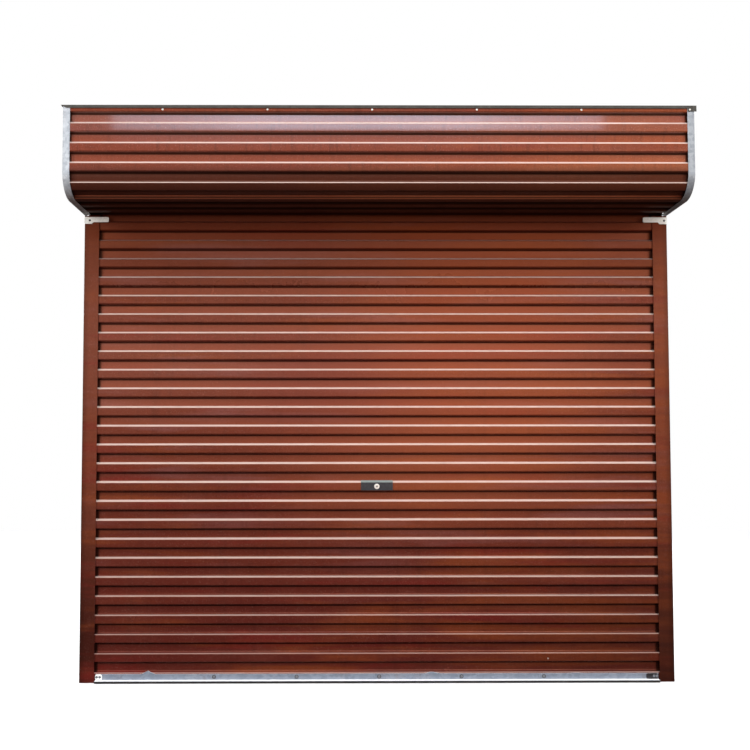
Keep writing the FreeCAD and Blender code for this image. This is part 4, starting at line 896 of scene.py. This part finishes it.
def torsionSpring(name, side, node):
    length = spring["outer"] - spring["inner"] - 2 * spring["cone"]
    start = side * (spring["inner"] + spring["cone"])
    bpy.ops.mesh.primitive_circle_add(vertices=spring["sides"], radius=spring["wire"],
                                      location=(start + side * spring["wire"], axleY, axleZ + spring["coil"]))
    coil = placeMesh(bpy.context.object, name)
    openEdit(coil)
    bpy.ops.mesh.select_all(action="SELECT")
    turns = int((length - 2 * spring["wire"]) / spring["pitch"])
    # the wire's section is carried round the axle, forward by one pitch a turn
    bpy.ops.transform.rotate(value=math.radians(90), orient_axis="X",
                             center_override=(start, axleY, axleZ + spring["coil"]))
    closeEdit()
    bpy.context.scene.cursor.location = (0, axleY, axleZ)
    bpy.ops.object.origin_set(type="ORIGIN_CURSOR")
    modify(coil, "SCREW", axis="X", angle=math.tau, screw_offset=side * spring["pitch"], iterations=turns,
           steps=spring["steps"], render_steps=spring["steps"], use_merge_vertices=False)
    placeMesh(coil, name)
    openEdit(coil)
    bpy.ops.mesh.select_all(action="SELECT")
    bpy.ops.mesh.normals_make_consistent(inside=False)
    closeEdit()
    for end in (spring["inner"] + spring["cone"] / 2, spring["outer"] - spring["cone"] / 2):
        cone = cylinder(f"{name}Cone{round(end * 100)}", spring["coneRadius"], spring["cone"],
                        (side * end, axleY, axleZ), toSide)
        settle(smooth(soften(cone, spring["coneEdge"], 40, 3)), "frame", "bracket_steel")
    settle(smooth(coil, weighted=False, angle=60), "frame", "spring_steel", node)


torsionSpring("leftSpring", -1, "left_torsion_spring")
torsionSpring("rightSpring", 1, "right_torsion_spring")
softSet("AxleBracket", "_axle_bracket", 0.0012, "frame", "bracket_steel")
softSet("AxleCollar", "_axle_collar", 0.001, "frame", "zinc_hardware")
wheels = ("left", "centre", "right")
softSet("DrumWheel", "_drum_wheel", 0.0008, "drum", "bracket_steel", wheels)
softSet("DrumBush", "_drum_bush", 0.0006, "drum", "nylon", wheels)
print("axle made")


# Any CAD node that stays keeps its shape and gets a zinc finish.
for name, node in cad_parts.items():
    if not node.hide_render:
        node.data.materials.clear()
        node.data.materials.append(finishes["zinc_hardware"])
        print("kept from the frame:", name)


# Studio: pale floor, soft key high in front, boxes at the sides and behind, and the panels that the paint mirrors.
# The floor is pale to the camera and dark to the door's lower ribs.
bpy.ops.mesh.primitive_plane_add(size=14, location=(0, 0, 0))
floor = placeMesh(bpy.context.object, "studioFloor")
ground = Finish("studio_floor")
floorTone = ground.mix(ground.noise(1.5, 3.0), shade(240, 240, 242), shade(234, 234, 236))
floorTone = ground.mix(ground.add("LightPath", {}, {}, "Is Camera Ray"), shade(60, 52, 48), floorTone)
floor.data.materials.append(ground.surface(Base_Color=floorTone, Roughness=0.9, Specular_IOR_Level=0.0))


def softbox(name, place, aim, width, height, power, colour=(1, 1, 1), spread=180):
    bpy.ops.object.light_add(type="AREA", location=place)
    lamp = bpy.context.object
    lamp.name = name
    lamp.data.shape = "RECTANGLE"
    lamp.data.size, lamp.data.size_y = width, height
    lamp.data.energy = power
    lamp.data.color = colour
    lamp.data.spread = math.radians(spread)
    lamp.rotation_euler = (Vector(aim) - Vector(place)).to_track_quat("-Z", "Y").to_euler()


softbox("keyBox", (0.2, -2.9, 5.4), (0, 0, 1.2), 4.5, 1.4, 66, (1.0, 0.97, 0.93), 120)
softbox("leftBox", (-4.4, -3.6, 2.7), (0, 0, 1.5), 1.4, 2.2, 120, (1.0, 0.97, 0.94))
softbox("rightBox", (4.4, -3.6, 2.7), (0, 0, 1.5), 1.4, 2.2, 108, (1.0, 0.95, 0.9))
for width in (3.0, 3.5, 4.0, 4.5, 5.0, 5.5, 6.0):        # steps, so that the reflection has soft ends
    softbox(f"skyPanel{round(width * 10)}", (0.05, -7.0, 5.2), (0.0, 0, 2.4), width, 0.66, 30, (0.54, 0.74, 0.95))
for width, power in ((2.0, 20), (3.4, 24)):
    softbox(f"warmPanel{round(width)}", (1.6, -7.0, 2.3), (0.3, 0, 1.5), width, 2.8, power, (1.0, 0.5, 0.25))
softbox("warmHigh", (3.1, -7.0, 4.1), (1.0, 0, 2.3), 2.0, 0.9, 16, (1.0, 0.55, 0.28))
softbox("hazePanel", (-0.3, -7.5, 2.2), (0, 0, 1.4), 8.0, 1.1, 45, (1.0, 0.84, 0.8))
for side in (-1, 1):
    softbox("backBoxLeft" if side < 0 else "backBoxRight", (side * 3.6, 4.6, 3.4), (0, 0, 1.3), 2.2, 2.2, 110)
softbox("eveningPanel", (-0.6, -7.6, 2.4), (0, 0, 1.4), 7.5, 2.8, 30, (1.0, 0.62, 0.42))


# Sky over the door: bright overhead, dark at the horizon; the camera sees white paper instead.
sky = Finish("studioWorld", "worlds", "Background")
skyLight = sky.span(sky.axis(sky.place, "Z"), 0.1, 0.75, 0.1, 1.35)
byCamera = sky.add("LightPath", {}, {}, "Is Camera Ray")
seen = sky.add("MapRange", {}, {"Value": byCamera, "To Min": skyLight, "To Max": 1.0})
bpy.context.scene.world = sky.surface(Color=(1, 1, 1, 1), Strength=seen)
bpy.context.scene.view_settings.view_transform = "Standard"
print("studio set")
